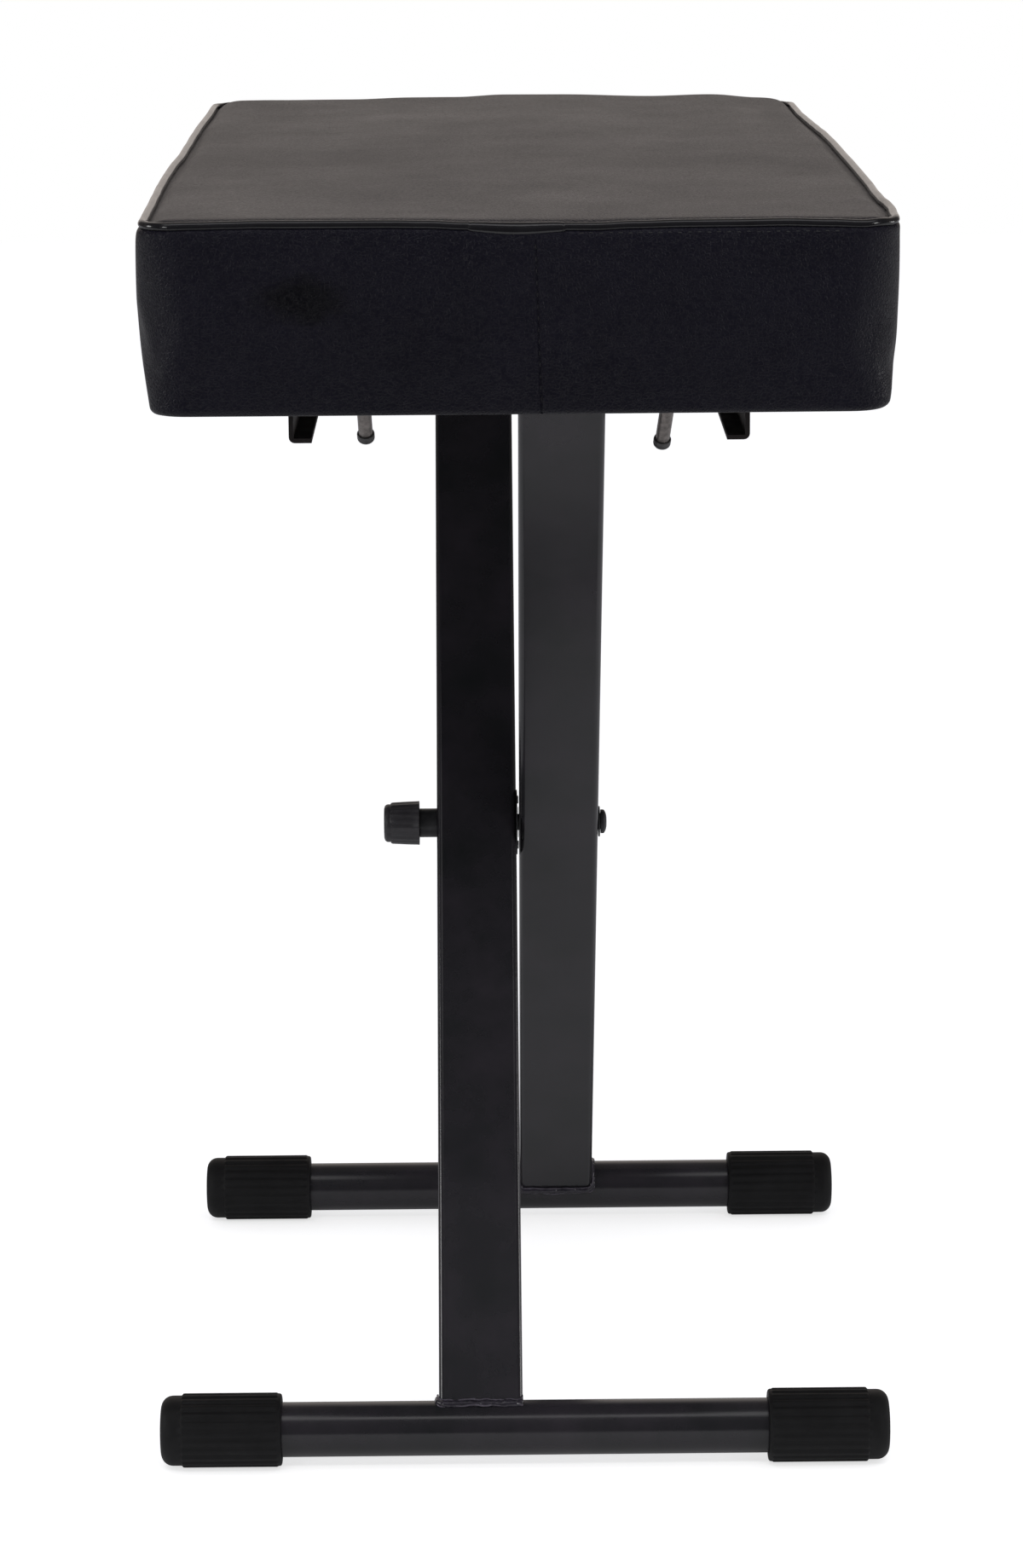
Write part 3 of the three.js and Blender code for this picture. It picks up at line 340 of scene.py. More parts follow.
stuff("bar_steel", (0.12, 0.11, 0.103), (0.28, 0.255, 0.24), 3, (0.3, 0.5),
      (1.0, 0.01), (0.25, 0.004), metallic=0.9)
stuff("zinc_steel", (0.3, 0.3, 0.29), (0.5, 0.5, 0.48), 4, (0.25, 0.45),
      (1.2, 0.006), (0.2, 0.003), metallic=1.0)
stuff("spring_steel", (0.2, 0.2, 0.2), (0.35, 0.35, 0.34), 2, (0.25, 0.4),
      (0.8, 0.005), (0.2, 0.002), metallic=1.0)

# %% [markdown]
# The rest is plastic, rubber, wood and cloth. Each is matt or waxy rather than glossy, and its relief
# is what tells them apart: fine pits in rubber, a soft orange skin on moulded plastic, open pores in
# foam, and a faint mottled relief on the board.

# %% Other finishes
stuff("foot_rubber", (0.002, 0.002, 0.0022), (0.0042, 0.0042, 0.0046), 12, (0.5, 0.68),
      (1.5, 0.03), (0.35, 0.015), level=0.3)
stuff("tip_vinyl", (0.028, 0.027, 0.027), (0.05, 0.048, 0.047), 4, (0.3, 0.45), (1.2, 0.02), (0.3, 0.005))
stuff("glide_nylon", (0.5, 0.49, 0.45), (0.62, 0.6, 0.55), 5, (0.35, 0.5), (2, 0.02), (0.4, 0.004))
stuff("knob_plastic", (0.016, 0.015, 0.017), (0.024, 0.022, 0.025), 6, (0.35, 0.45),
      (1.2, 0.015), (0.3, 0.006))
stuff("foam", (0.2, 0.19, 0.17), (0.3, 0.28, 0.26), 8, (0.9, 1.0), (1.5, 0.4, "cells"), (0.6, 0.15, "cells"))
stuff("plywood", (0.3, 0.19, 0.1), (0.5, 0.35, 0.2), 18, (0.6, 0.8), (3, 0.05), (0.6, 0.03))
stuff("dust_cloth", (0.006, 0.006, 0.006), (0.012, 0.012, 0.012), 6, (0.85, 0.95),
      (1.2, 0.08, "cells"), (0.3, 0.05), sheen=0.2)
stuff("seat_vinyl", (0.0028, 0.0025, 0.0056), (0.004, 0.0036, 0.0076), 40, (0.35, 0.43),
      (9, 0.02), (1.5, 0.17, "pebbles"), level=0.2)
stuff("thread", (0.007, 0.007, 0.0075), (0.015, 0.015, 0.0155), 1, (0.4, 0.5), (0.4, 0.02), (0.15, 0.01))
stuff("welt_vinyl", (0.005, 0.0048, 0.0055), (0.007, 0.0068, 0.0078), 10, (0.12, 0.2),
      (4, 0.03), (0.7, 0.01, "cells"))
rubbed_mark("seat_vinyl", (-85, -305, 565), (23, 12, 12), (0.0006, 0.0006, 0.0012), 0.85)
rubbed_mark("seat_vinyl", (120, 196, 598), (9, 22, 6), (0.05, 0.048, 0.045), 0.5)
print("finishes:", len(FINISHES))

# %% [markdown]
# The solid model already has every hidden piece in its right shape, such as the lock pins and the
# tee nuts. Those stay, and only take on their finish. A bevel on the folded steel catches the light
# along its edges, as the real cut sheet does; it is a modifier, so the solid itself is unchanged.

# %% Finishes on the solid pieces
# Each finish goes to the solids with one of these words in their names, and a later line wins.
NODE_FINISHES = {
    "frame_enamel": "leg_tube foot_tube top_tube",
    "foot_rubber": "foot_cap",
    "rail_enamel": "slide_rail hinge_bracket",
    "black_steel": "rail_bolt hinge_bolt lock_plate knob_barrel pivot_bolt head_washer",
    "zinc_steel": "tee_nut hinge_pin pivot_nut pivot_spacer pivot_sleeve knob_stem dog_plate lock_pin",
    "bar_steel": "_peg",
    "tip_vinyl": "peg_cap",
    "glide_nylon": "slide_glide",
    "knob_plastic": "knob_grip",
    "spring_steel": "lock_spring",
    "foam": "seat_foam",
    "plywood": "seat_board",
    "dust_cloth": "dust_cover",
    "seat_vinyl": "seat_cover",
    "welt_vinyl": "seat_welt",
}
for finish_name, marks in NODE_FINISHES.items():
    for name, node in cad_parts.items():
        if any(mark in name for mark in marks.split()):
            node.data.materials.clear()
            node.data.materials.append(FINISHES[finish_name])
EDGE_EASE = 0.35
for name in ("slide_rail_left", "slide_rail_right", "hinge_bracket_left", "hinge_bracket_right"):
    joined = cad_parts[name].modifiers.new("joined_corners", "WELD")
    joined.merge_threshold = 0.01 * MM
    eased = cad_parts[name].modifiers.new("eased_edges", "BEVEL")
    eased.width = EDGE_EASE * MM
    eased.segments = 2
    eased.limit_method = "ANGLE"
    eased.angle_limit = radians(40)
print("solid pieces with a finish:", sum(1 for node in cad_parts.values() if node.material_slots))

# %% [markdown]
# Each piece below is drawn in millimetres as a bmesh, then handed to one function that closes its
# seams, turns its faces outwards, scales it to metres and names the body that carries it. Doing this
# in one place keeps every piece's object at the origin, unturned and unscaled.


def finish_piece(name, shape, body, finish, stands_for=(), sharp=38, at=None):
    """Make a piece of a shape in mm, first moved to a place, for the solids that it stands for."""
    if at is not None:
        bmesh.ops.translate(shape, vec=at, verts=shape.verts)
    bmesh.ops.remove_doubles(shape, verts=shape.verts, dist=0.002)
    bmesh.ops.recalc_face_normals(shape, faces=shape.faces)
    bmesh.ops.scale(shape, vec=(MM, MM, MM), verts=shape.verts)
    mesh = bpy.data.meshes.new(name)
    shape.to_mesh(mesh)
    shape.free()
    for face in mesh.polygons:
        face.use_smooth = True
    mesh.set_sharp_from_angle(angle=radians(sharp))
    mesh.materials.append(FINISHES[finish])
    piece = link(name, mesh)
    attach(piece, body)
    if stands_for:
        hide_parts(*stands_for)
    return piece


def box_of(node):
    return (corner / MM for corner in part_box(node))


def reach_of(node):
    low, high = box_of(node)
    return low.x, high.x


def axis_of(node):
    """Where a solid's own axis crosses the middle of the bench."""
    low, high = box_of(node)
    return (low + high) / 2 * Vector((0, 1, 1))


def ring_edges(shape, ring):
    return [shape.edges.get((start, end)) for start, end in zip(ring, ring[1:] + ring[:1])]


def next_ring(shape, ring):
    """Extrude a closed ring of vertices, and give the new ring in the same order."""
    made = set(bmesh.ops.extrude_edge_only(shape, edges=ring_edges(shape, ring))["geom"])
    return [next(edge.other_vert(vert) for edge in vert.link_edges if edge.other_vert(vert) in made)
            for vert in ring]


PIVOT, NEAR_FOOT, FAR_FOOT = (axis_of(node) for node in ("pivot_sleeve", "near_foot_tube", "far_foot_tube"))
NEAR_TOP, FAR_TOP = axis_of("near_top_tube"), axis_of("far_top_tube")
print("pivot at", [round(value, 2) for value in PIVOT])

# %% [markdown]
# Tubes, bolts, washers and pegs are all turned work: one outline spun about an axis. A cylinder from
# the primitives would do for a plain bar, but an outline also carries the rounded rim, the step and
# the dome, and the spin closes it in one call.

# %% Helper for turned pieces
EASE_STEPS = 4


def eased_outline(corners):
    """(reach, radius, round) corners joined up, each rounded by its own amount."""
    outline = []
    for index, (reach, radius, ease) in enumerate(corners):
        here = Vector((reach, radius))
        if not ease:
            outline.append(here)
            continue
        back = (Vector(corners[index - 1][:2]) - here).normalized() * ease
        ahead = (Vector(corners[index + 1][:2]) - here).normalized() * ease
        for step in range(EASE_STEPS + 1):
            share = step / EASE_STEPS
            outline.append(here + back * (1 - share) ** 2 + ahead * share ** 2)
    return outline


def turned(corners, steps=64):
    """Spin an outline of (reach, radius, round) corners about the X axis."""
    shape = bmesh.new()
    points = [shape.verts.new((reach, 0, radius)) for reach, radius in eased_outline(corners)]
    for start, end in zip(points, points[1:]):
        shape.edges.new((start, end))
    bmesh.ops.spin(shape, geom=shape.verts[:] + shape.edges[:], cent=(0, 0, 0), axis=ACROSS,
                   dvec=(0, 0, 0), angle=tau, steps=steps, use_merge=True)
    return shape


# %% Foot tubes and top tubes
FOOT_TUBE_RADIUS, TOP_TUBE_RADIUS = 12.7, 8.0
for tube, body, place, radius in (
    ("near_foot", "leg_a", NEAR_FOOT, FOOT_TUBE_RADIUS), ("far_foot", "leg_b", FAR_FOOT, FOOT_TUBE_RADIUS),
    ("far_top", "leg_a", FAR_TOP, TOP_TUBE_RADIUS), ("near_top", "leg_b", NEAR_TOP, TOP_TUBE_RADIUS),
):
    low, high = reach_of(tube + "_tube")
    shape = turned([(low, 0, 0), (low, radius, 0.5), (high, radius, 0.5), (high, 0, 0)], steps=96)
    finish_piece(tube + "_bar", shape, body, "frame_enamel", [tube + "_tube"], at=place)
    print(tube, "tube from", round(low, 1), "to", round(high, 1))

# %% [markdown]
# The legs are rectangular tube with softly rounded corners, cut to a saddle at each end where they
# meet a round tube. A ring with four rounded corners is extruded along the leg, and the last ring
# at each end is moved onto the saddle's curve.

# %% Leg tubes
LEGS = (("left", "leg_a", NEAR_FOOT, FAR_TOP, -1), ("right", "leg_b", FAR_FOOT, NEAR_TOP, 1))
LEG_DEPTH, LEG_CORNER = 19, 3
# Inner and outer face of each leg, from the middle of the bench. The two legs nearly touch there.
LEG_FACES = {-1: (1.0, 39.9), 1: (0.4, 39.0)}
SADDLE_FIT = 0.3
TOP_SADDLE_FLAT = TOP_TUBE_RADIUS / 2


def rounded_rectangle(width, depth, corner, steps):
    """Points round a rectangle, with steps in each rounded corner."""
    points = []
    for quarter, (side_x, side_y) in enumerate(((1, 1), (-1, 1), (-1, -1), (1, -1))):
        for step in range(steps + 1):
            turn = radians(90 * (quarter + step / steps))
            points.append(Vector((side_x * (width / 2 - corner) + corner * cos(turn),
                                  side_y * (depth / 2 - corner) + corner * sin(turn), 0)))
    return points


def onto_leg(shape, foot, top, side):
    """Move a shape onto its leg from the leg's own space: X across the bench, Z up from the foot."""
    along = (top - foot).normalized()
    bmesh.ops.translate(shape, vec=(side * sum(LEG_FACES[side]) / 2, 0, 0), verts=shape.verts)
    bmesh.ops.transform(shape, matrix=axes_at(foot, ACROSS, along.cross(ACROSS), along), verts=shape.verts)


def foot_saddle(y):
    return sqrt((FOOT_TUBE_RADIUS + SADDLE_FIT) ** 2 - y ** 2)


def top_saddle(y):
    return max(TOP_SADDLE_FLAT, sqrt(max(0, (TOP_TUBE_RADIUS + SADDLE_FIT) ** 2 - y ** 2)))


def leg_tube(foot, top, side):
    length = (top - foot).length
    shape = bmesh.new()
    inner, outer = LEG_FACES[side]
    section = rounded_rectangle(outer - inner, LEG_DEPTH, LEG_CORNER, steps=5)
    ring = bmesh.ops.create_circle(shape, segments=len(section), radius=LEG_CORNER)["verts"]
    for vert, place in zip(ring, section):
        vert.co = place
    narrow = [edge for edge in shape.edges if abs(edge.verts[0].co.y - edge.verts[1].co.y) > LEG_CORNER]
    bmesh.ops.subdivide_edges(shape, edges=narrow, cuts=7)
    for vert in shape.verts:
        vert.co.z = foot_saddle(vert.co.y)
    edges = shape.edges[:]
    for height in (24, length / 2, length - 20, None):
        made = bmesh.ops.extrude_edge_only(shape, edges=edges)["geom"]
        fresh = [item for item in made if isinstance(item, bmesh.types.BMVert)]
        edges = [item for item in made if isinstance(item, bmesh.types.BMEdge)
                 and item.verts[0] in fresh and item.verts[1] in fresh]
        for vert in fresh:
            vert.co.z = height if height else length - top_saddle(vert.co.y)
    onto_leg(shape, foot, top, side)
    return shape


for hand, body, foot, top, side in LEGS:
    leg = finish_piece(f"{hand}_leg", leg_tube(foot, top, side), body, "frame_enamel",
                       [f"{hand}_leg_tube"], sharp=60)
    flat_faces = leg.modifiers.new("flat_faces_stay_flat", "WEIGHTED_NORMAL")
    flat_faces.keep_sharp = True
    print(hand, "leg, length", round((top - foot).length, 1))

# %% [markdown]
# Each leg is welded to its tubes all round, and the bead shows under the enamel as a row of small
# overlapping ripples. A ring is carried along the joint and made a little thicker at each ripple. At
# the foot, two thinner rings run beside the bead: its toes, wavy lines where the weld runs out onto
# the leg and onto the tube. Their finish is the enamel painted several times lighter, a painted
# highlight for the light that the real toes catch. The bead at the top is slim and sunk, because the
# seat and the other foot tube come within a millimetre of the leg when the bench is folded.
# %% Helper that carries a ring along a path
def swept(path, girth, sides=8, closed=False, upright=Vector((0, 0, 1)), shape=None):
    """A tube along points; girth(index) gives its radius there. upright keeps its roll."""
    shape = shape or bmesh.new()
    first = ring = bmesh.ops.create_circle(shape, segments=sides, radius=1)["verts"]
    count = len(path)
    for index, point in enumerate(path):
        ahead = path[(index + 1) % count] if closed or index + 1 < count else point
        behind = path[index - 1] if closed or index else point
        along = (ahead - behind).normalized()
        side = along.cross(upright).normalized()
        rise = side.cross(along)
        if index:
            ring = next_ring(shape, ring)
        radius = girth(index)
        for number, vert in enumerate(ring):
            turn = tau * number / sides
            vert.co = point + side * (radius * cos(turn)) + rise * (radius * sin(turn))
    if closed:
        bmesh.ops.bridge_loops(shape, edges=ring_edges(shape, first) + ring_edges(shape, ring))
    else:
        bmesh.ops.contextual_create(shape, geom=first)
        bmesh.ops.contextual_create(shape, geom=ring)
    return shape


# %% Weld beads
BEAD_RADIUS, TOP_BEAD_RADIUS, RIPPLE_PITCH = 1.8, 1.1, 2.6
# How far a bead's middle lies outside the leg's front and back, and outside its sides.
BEAD_PROUD, TOP_BEAD_PROUD, SIDE_PROUD = 0.4, -0.7, 0.3
POINT_SPACING = 0.7
TOE_RADIUS, TOE_WANDER = 0.42, 0.8
TOES = ((2.0, 0.35), (-1.1, 1.5))  # each toe's distance up the leg from the bead, and outwards
GRIND = 0.2


def joint_path(side, proud, height_of):
    """Points round a leg's end, on the curve where it meets its tube."""
    inner, outer = LEG_FACES[side]
    outline = rounded_rectangle(outer - inner + 2 * SIDE_PROUD, LEG_DEPTH + 2 * proud, LEG_CORNER, steps=6)
    path = []
    for start, end in zip(outline, outline[1:] + outline[:1]):
        pieces = max(1, round((end - start).length / POINT_SPACING))
        path += [start.lerp(end, step / pieces) for step in range(pieces)]
    for point in path:
        point.z = height_of(point.y)
    return path


def set_on_leg(name, shape, leg, finish):
    """Finish a weld on its leg, ground flush on the inner face because the two legs pass close together."""
    hand, body, foot, top, side = leg
    onto_leg(shape, foot, top, side)
    flush = LEG_FACES[side][0] - GRIND
    for vert in shape.verts:
        if side * vert.co.x < flush:
            vert.co.x = side * flush
    finish_piece(name, shape, body, finish, sharp=60)


def weld_bead(name, path, leg, radius):
    side = leg[-1]
    walked = [0.0]
    for start, end in zip(path, path[1:]):
        walked.append(walked[-1] + (end - start).length)
    ripple = tau * round(walked[-1] / RIPPLE_PITCH) / (walked[-1] + POINT_SPACING)

    def girth(index):
        drift = noise.noise(path[index] * 0.12 + Vector((side * 7, 0, 3)))
        return radius * (1 + 0.07 * sin(walked[index] * ripple) + 0.3 * drift)

    shape = swept(path, girth, sides=12, closed=True)
    shape.normal_update()
    rough = radius / BEAD_RADIUS
    crinkles = [vert.normal * rough * (0.45 * noise.noise(vert.co * 0.5) + 0.15 * noise.noise(vert.co * 1.4))
                for vert in shape.verts]
    for vert, crinkle in zip(shape.verts, crinkles):
        vert.co += crinkle
    set_on_leg(name, shape, leg, "weld_enamel")


def weld_toes(name, path, leg):
    shape = bmesh.new()
    middle = sum(path, Vector()) / len(path)
    for number, (rise, out) in enumerate(TOES):
        toe = []
        for point in path:
            wander = noise.noise(point * 0.22 + Vector((number * 9, leg[-1] * 5, 0)))
            away = ((point - middle) * Vector((1, 1, 0))).normalized()
            toe.append(point + away * out + Vector((0, 0, rise + TOE_WANDER * wander)))
        swept(toe, lambda index: TOE_RADIUS * (1 + 0.5 * noise.noise(toe[index] * 0.5)),
              closed=True, shape=shape)
    # The toes take the lighter finish, a painted highlight where the weld runs out.
    set_on_leg(name, shape, leg, "weld_toe_painted_highlight")


for leg in LEGS:
    hand, body, foot, top, side = leg
    length = (top - foot).length
    foot_path = joint_path(side, BEAD_PROUD, lambda y: foot_saddle(y) + 0.1)
    top_path = joint_path(side, TOP_BEAD_PROUD, lambda y: length - top_saddle(y) - 0.1)
    weld_bead(f"{hand}_foot_weld", foot_path, leg, BEAD_RADIUS)
    weld_toes(f"{hand}_foot_weld_toes", foot_path, leg)
    weld_bead(f"{hand}_top_weld", top_path, leg, TOP_BEAD_RADIUS)
print("ripples about", RIPPLE_PITCH, "mm apart")

# %% [markdown]
# A rubber cap closes each end of the foot tubes. Most of it is a sleeve with broad flat ribs parted
# by narrow grooves, and the last centimetre is smooth and rounded. A circle with eight points to a
# rib is extruded row by row, and each row says how deep its grooves are.

# %% Foot caps
def grooved(rows, count, first, shares, depth, start, way=1):
    """A ring carried through rows of (reach, radius, grooved). shares gives how deep a groove is at each
    point of its pitch, and first is the number of points by which the first one lies round from the top."""
    shape = bmesh.new()
    ring = bmesh.ops.create_circle(shape, segments=count, radius=1)["verts"]
    for row, (reach, radius, cut) in enumerate(rows):
        if row:
            ring = next_ring(shape, ring)
        for number, vert in enumerate(ring):
            turn = tau * (number + first) / count
            out = radius - depth * cut * shares[number % len(shares)]
            vert.co = (start + way * reach, out * cos(turn), out * sin(turn))
    return shape


CAP_RIBS, GROOVE_DEPTH = 24, 0.62
GROOVE_SHARES = (1, 1, 0.35, 0, 0, 0, 0.35, 1)
CAP_LENGTH, CAP_RADIUS, CAP_END_ROUND = 56, 16.2, 5.5
CAP_ROWS = [(0, 13.0, 0), (0, 15.9, 0), (0.25, 16.4, 0), (0.8, 16.7, 0), (1.5, 16.75, 0), (1.8, 16.9, 0.4),
            (2.3, 17.2, 1), (24, 17.2, 1), (45.0, 17.2, 1), (45.7, 17.1, 0.9), (46.2, 16.5, 0.2),
            (46.5, 16.2, 0), (48.5, 16.2, 0), (50.5, 16.2, 0)]
for step in range(1, 9):
    turn = radians(90 * step / 8)
    CAP_ROWS.append((CAP_LENGTH - CAP_END_ROUND * (1 - sin(turn)),
                     CAP_RADIUS - CAP_END_ROUND * (1 - cos(turn)), 0))
CAP_ROWS += [(CAP_LENGTH, 6, 0), (CAP_LENGTH, 0.01, 0)]
cap_points = CAP_RIBS * len(GROOVE_SHARES)
for end, body, place in (("near", "leg_a", NEAR_FOOT), ("far", "leg_b", FAR_FOOT)):
    for side, hand in ((-1, "left"), (1, "right")):
        node = f"{end}_foot_cap_{hand}"
        inner_reach = min(abs(value) for value in reach_of(node))
        shape = grooved(CAP_ROWS, cap_points, (1 - len(GROOVE_SHARES)) / 2 - cap_points / 4, GROOVE_SHARES,
                        GROOVE_DEPTH, side * inner_reach, way=side)
        finish_piece(f"{end}_rubber_cap_{hand}", shape, body, "foot_rubber", [node], sharp=40, at=place)
print("rows in a cap:", len(CAP_ROWS))

# %% [markdown]
# The pull knob is turned plastic in two steps, with shallow flutes for grip on the wide one and a
# sharp inner rim. It is made as the caps are, row by row, because a plain spin can't carry flutes.
# Behind it are the steel neck, and across the legs the head of the pivot bolt on its washer.

# %% Knob
KNOB_FLUTES, POINTS_PER_FLUTE, FLUTE_DEPTH = 20, 6, 0.28
FLUTE_SHARES = [0.5 - 0.5 * cos(tau * number / POINTS_PER_FLUTE) for number in range(POINTS_PER_FLUTE)]
KNOB_ROWS = [(0, 0.02, 0), (0, 5.0, 0), (0.05, 7.3, 0), (0.45, 8.5, 0), (1.2, 9.15, 0), (2.0, 9.3, 0),
             (3.1, 9.3, 0), (3.3, 9.45, 0), (3.45, 9.95, 0.3), (4.2, 10.2, 1), (7.0, 10.35, 1),
             (12.0, 10.6, 1), (16.6, 10.75, 1), (17.0, 10.8, 0.2), (17.4, 10.75, 0), (17.4, 8.0, 0),
             (16.4, 7.9, 0), (16.4, 0.02, 0)]
knob_end = reach_of("knob_grip")[0]
shape = grooved(KNOB_ROWS, KNOB_FLUTES * POINTS_PER_FLUTE, 0, FLUTE_SHARES, FLUTE_DEPTH, knob_end)
finish_piece("pull_knob", shape, "knob", "knob_plastic", ["knob_grip"], sharp=35, at=PIVOT)
print("knob starts at", round(knob_end, 1))

# %% Neck, bolt and washer
neck_end = reach_of("knob_barrel")[0] - 0.25
neck_start = reach_of("knob_barrel")[1]
neck_seat = -LEG_FACES[-1][1] - 0.05
bolt_end, head_top = reach_of("pivot_bolt")
washer_back, washer_face = reach_of("head_washer")
shank = washer_face + 0.3
for name, node, corners in (
    ("knob_neck", "knob_barrel",
     [(neck_end, 3.4, 0), (neck_end, 7.1, 0.3), (neck_seat, 7.1, 0), (neck_seat, 5.0, 0),
      (neck_start, 5.0, 0), (neck_start, 3.4, 0)]),
    ("pivot_bolt_dome", "pivot_bolt",
     [(bolt_end, 0, 0), (bolt_end, 4, 0.4), (shank, 4, 0), (shank, 5.9, 0.2), (head_top - 1.4, 5.9, 0.5),
      (head_top - 0.5, 4.6, 1.0), (head_top, 2.4, 0.8), (head_top, 0, 0)]),
    ("pivot_washer", "head_washer",
     [(washer_back, 4.3, 0), (washer_back, 7.5, 0.2), (washer_face, 7.5, 0.2), (washer_face, 4.3, 0),
      (washer_back, 4.3, 0)]),
):
    finish_piece(name, turned(corners), "leg_a", "black_steel", [node], sharp=30, at=PIVOT)
print("bolt head ends at", round(head_top, 1))

# %% [markdown]
# Two round pegs hang from the near top tube, in line with the right leg, and each has a dipped vinyl
# tip. They are turned along X like the rest, then swung onto the leg's own direction.

# %% Capped pegs
PEG_SPREAD, PEG_ROOT, PEG_RADIUS, PEG_CAP = 68.5, -8.9, 3.2, 4.4
TIP_CORNERS = ((0, 0, 0), (0, 3.85, 1.7), (1.9, 3.95, 0.3), (2.2, 3.7, 0.15), (2.5, 3.95, 0.3),
               (3.9, 3.95, 0.2), (PEG_CAP, 3.8, 0.2), (PEG_CAP, 3.35, 0), (2.5, 3.35, 0))
down_leg = (FAR_FOOT - NEAR_TOP).normalized()
for hand, side, length, tilt in (("left", -1, 39.7, -1.5), ("right", 1, 44.8, 5.0)):
    rod_end = length - 2
    rod = turned([(PEG_ROOT, 0, 0), (PEG_ROOT, PEG_RADIUS, 0.7), (rod_end, PEG_RADIUS, 0.3),
                  (rod_end, 0, 0)], steps=40)
    tip = turned([(length - back, radius, ease) for back, radius, ease in TIP_CORNERS], steps=40)
    place = axes_at(NEAR_TOP + ACROSS * side * PEG_SPREAD, down_leg, ACROSS, down_leg.cross(ACROSS))
    swing = Matrix.Rotation(radians(-tilt), 4, "Z")
    for name, shape, finish_name, node in (
        (f"{hand}_hanging_peg", rod, "bar_steel", f"{hand}_peg"),
        (f"{hand}_peg_tip", tip, "tip_vinyl", f"{hand}_peg_cap"),
    ):
        bmesh.ops.transform(shape, matrix=place @ swing, verts=shape.verts)
        finish_piece(name, shape, "leg_b", finish_name, [node], sharp=35)
print("pegs in line with", [round(value, 3) for value in down_leg])

# %% [markdown]
# The cushion is a foam block in a sewn vinyl cover: a top sheet, a boxing strip round the sides and
# a hem pulled under the board. A rounded box would look like plastic. Here a flat grid is bent to
# the seat's outline, its edge is extruded down as the boxing, and a short cloth simulation then
# fills it like a pillow, with the piping seam and the hem held still.

# %% Outline of the seat
HALF_WIDTH, HALF_LENGTH, SEAT_CORNER = 152.5, 305.0, 15.0
SIDE_BOW, END_BOW = 1.6, 0.6
SQUARE_FROM = 45  # this far in from the edge, the outline's corners are no longer round
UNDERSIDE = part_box("dust_cover")[0].z / MM
SEAM_HEIGHT = 73.0
CROWN_HEIGHT = solid_high.z / MM - UNDERSIDE
print("underside at", round(UNDERSIDE, 2), "crown", round(CROWN_HEIGHT, 2))


def clamp(value, low=0.0, high=1.0):
    return min(high, max(low, value))


def bell(off, width):
    """1 at no distance, falling away to nothing some widths off."""
    return exp(-(off / width) ** 2)


def share_along(y):
    """How far along the seat a place is, from the near end (0) to the far end (1)."""
    return (y + HALF_LENGTH) / (2 * HALF_LENGTH)


def share_across(x):
    return x / (2 * HALF_WIDTH) + 0.5


def rounded_place(across, along, inset, crowd=0.0, rounder=0.0):
    """Where a point of the square from -1 to 1 lies on the seat, inset from its outline: corners rounded,
    sides bowed. crowd, in mm, draws a grid's outer rows to the edge; rounder adds to the corner's radius."""
    half_x, half_y = HALF_WIDTH - inset, HALF_LENGTH - inset
    x, y = abs(across) * half_x, abs(along) * half_y
    on_long_side = half_x - x <= half_y - y
    depth = min(half_x - x, half_y - y)
    share = y / (half_y - depth) if on_long_side else x / max(half_x - depth, 0.001)
    depth -= crowd * (1 - exp(-depth / 5))
    ring_x, ring_y = half_x - depth, half_y - depth
    x, y = (ring_x, ring_y * share) if on_long_side else (ring_x * share, ring_y)
    corner = max(SEAT_CORNER + rounder - 0.5 * inset, 1.5) * max(0, 1 - depth / SQUARE_FROM)
    corner = max(0.0, min(corner, ring_x, ring_y))
    if corner > 0 and x > ring_x - corner and y > ring_y - corner:
        if on_long_side:
            turn = radians(45) * (y - ring_y + corner) / corner
        else:
            turn = radians(90) - radians(45) * (x - ring_x + corner) / corner
        x, y = ring_x - corner + corner * cos(turn), ring_y - corner + corner * sin(turn)
    x += SIDE_BOW * (x / HALF_WIDTH) * (1 - (y / HALF_LENGTH) ** 2)
    y += END_BOW * (y / HALF_LENGTH) * (1 - (x / HALF_WIDTH) ** 2)
    return copysign(x, across), copysign(y, along)


# %% Profile of the cushion
SEAM_INSET, GRID_CROWD = 4.2, 4.0
PLATE, TUCK = 2.6, 0.8  # the top sheet's height over the seam, and how far its edge tucks in under the piping
# The top sheet is almost level with the piping at the near end, and fuller towards the far end: how
# full it is there, from the left (0) to the right (1), read off the far edge in the photograph.
FAR_FULLNESS = (
    (0.0, 0.05), (0.05, 0.4), (0.12, 0.46), (0.24, 0.5), (0.34, 0.7), (0.42, 0.73), (0.5, 1.0), (0.6, 1.0),
    (0.75, 0.78), (0.86, 0.98), (0.94, 0.6), (0.975, 0.42), (1.0, 0.05))
BOXING_ROWS = (72.3, 71.2, 69.8, 67.5, 64.5, *(61.5 - 4 * row for row in range(14)), 5.5, 2.4, 0.6)
HEM_ROUND, HEM_INSET, HEM_DROP = 2.6, 3.9, 1.7
HEM_ROWS = ((11.5, -1.5), (16.0, -0.5), (21.0, -0.1), (27.0, 0.0), (33.0, 0.05))


def read_off(table, share):
    """A value from a table of (share, value), eased between its rows."""
    share = clamp(share)
    for (before, low), (after, high) in zip(table, table[1:]):
        if share <= after:
            step = (share - before) / (after - before)
            return low + (high - low) * step * step * (3 - 2 * step)
    return table[-1][1]


def side_inset(height):
    """How far the boxing lies inside the outline at a height above the underside."""
    share = clamp(height / 70.2)
    inset = 3.9 * (1 - share) ** 1.8 - 0.5 * share - 0.6 * sin(pi * share)
    return inset + 3.2 * max(0, (height - 70.6) / 2.4) ** 2.0


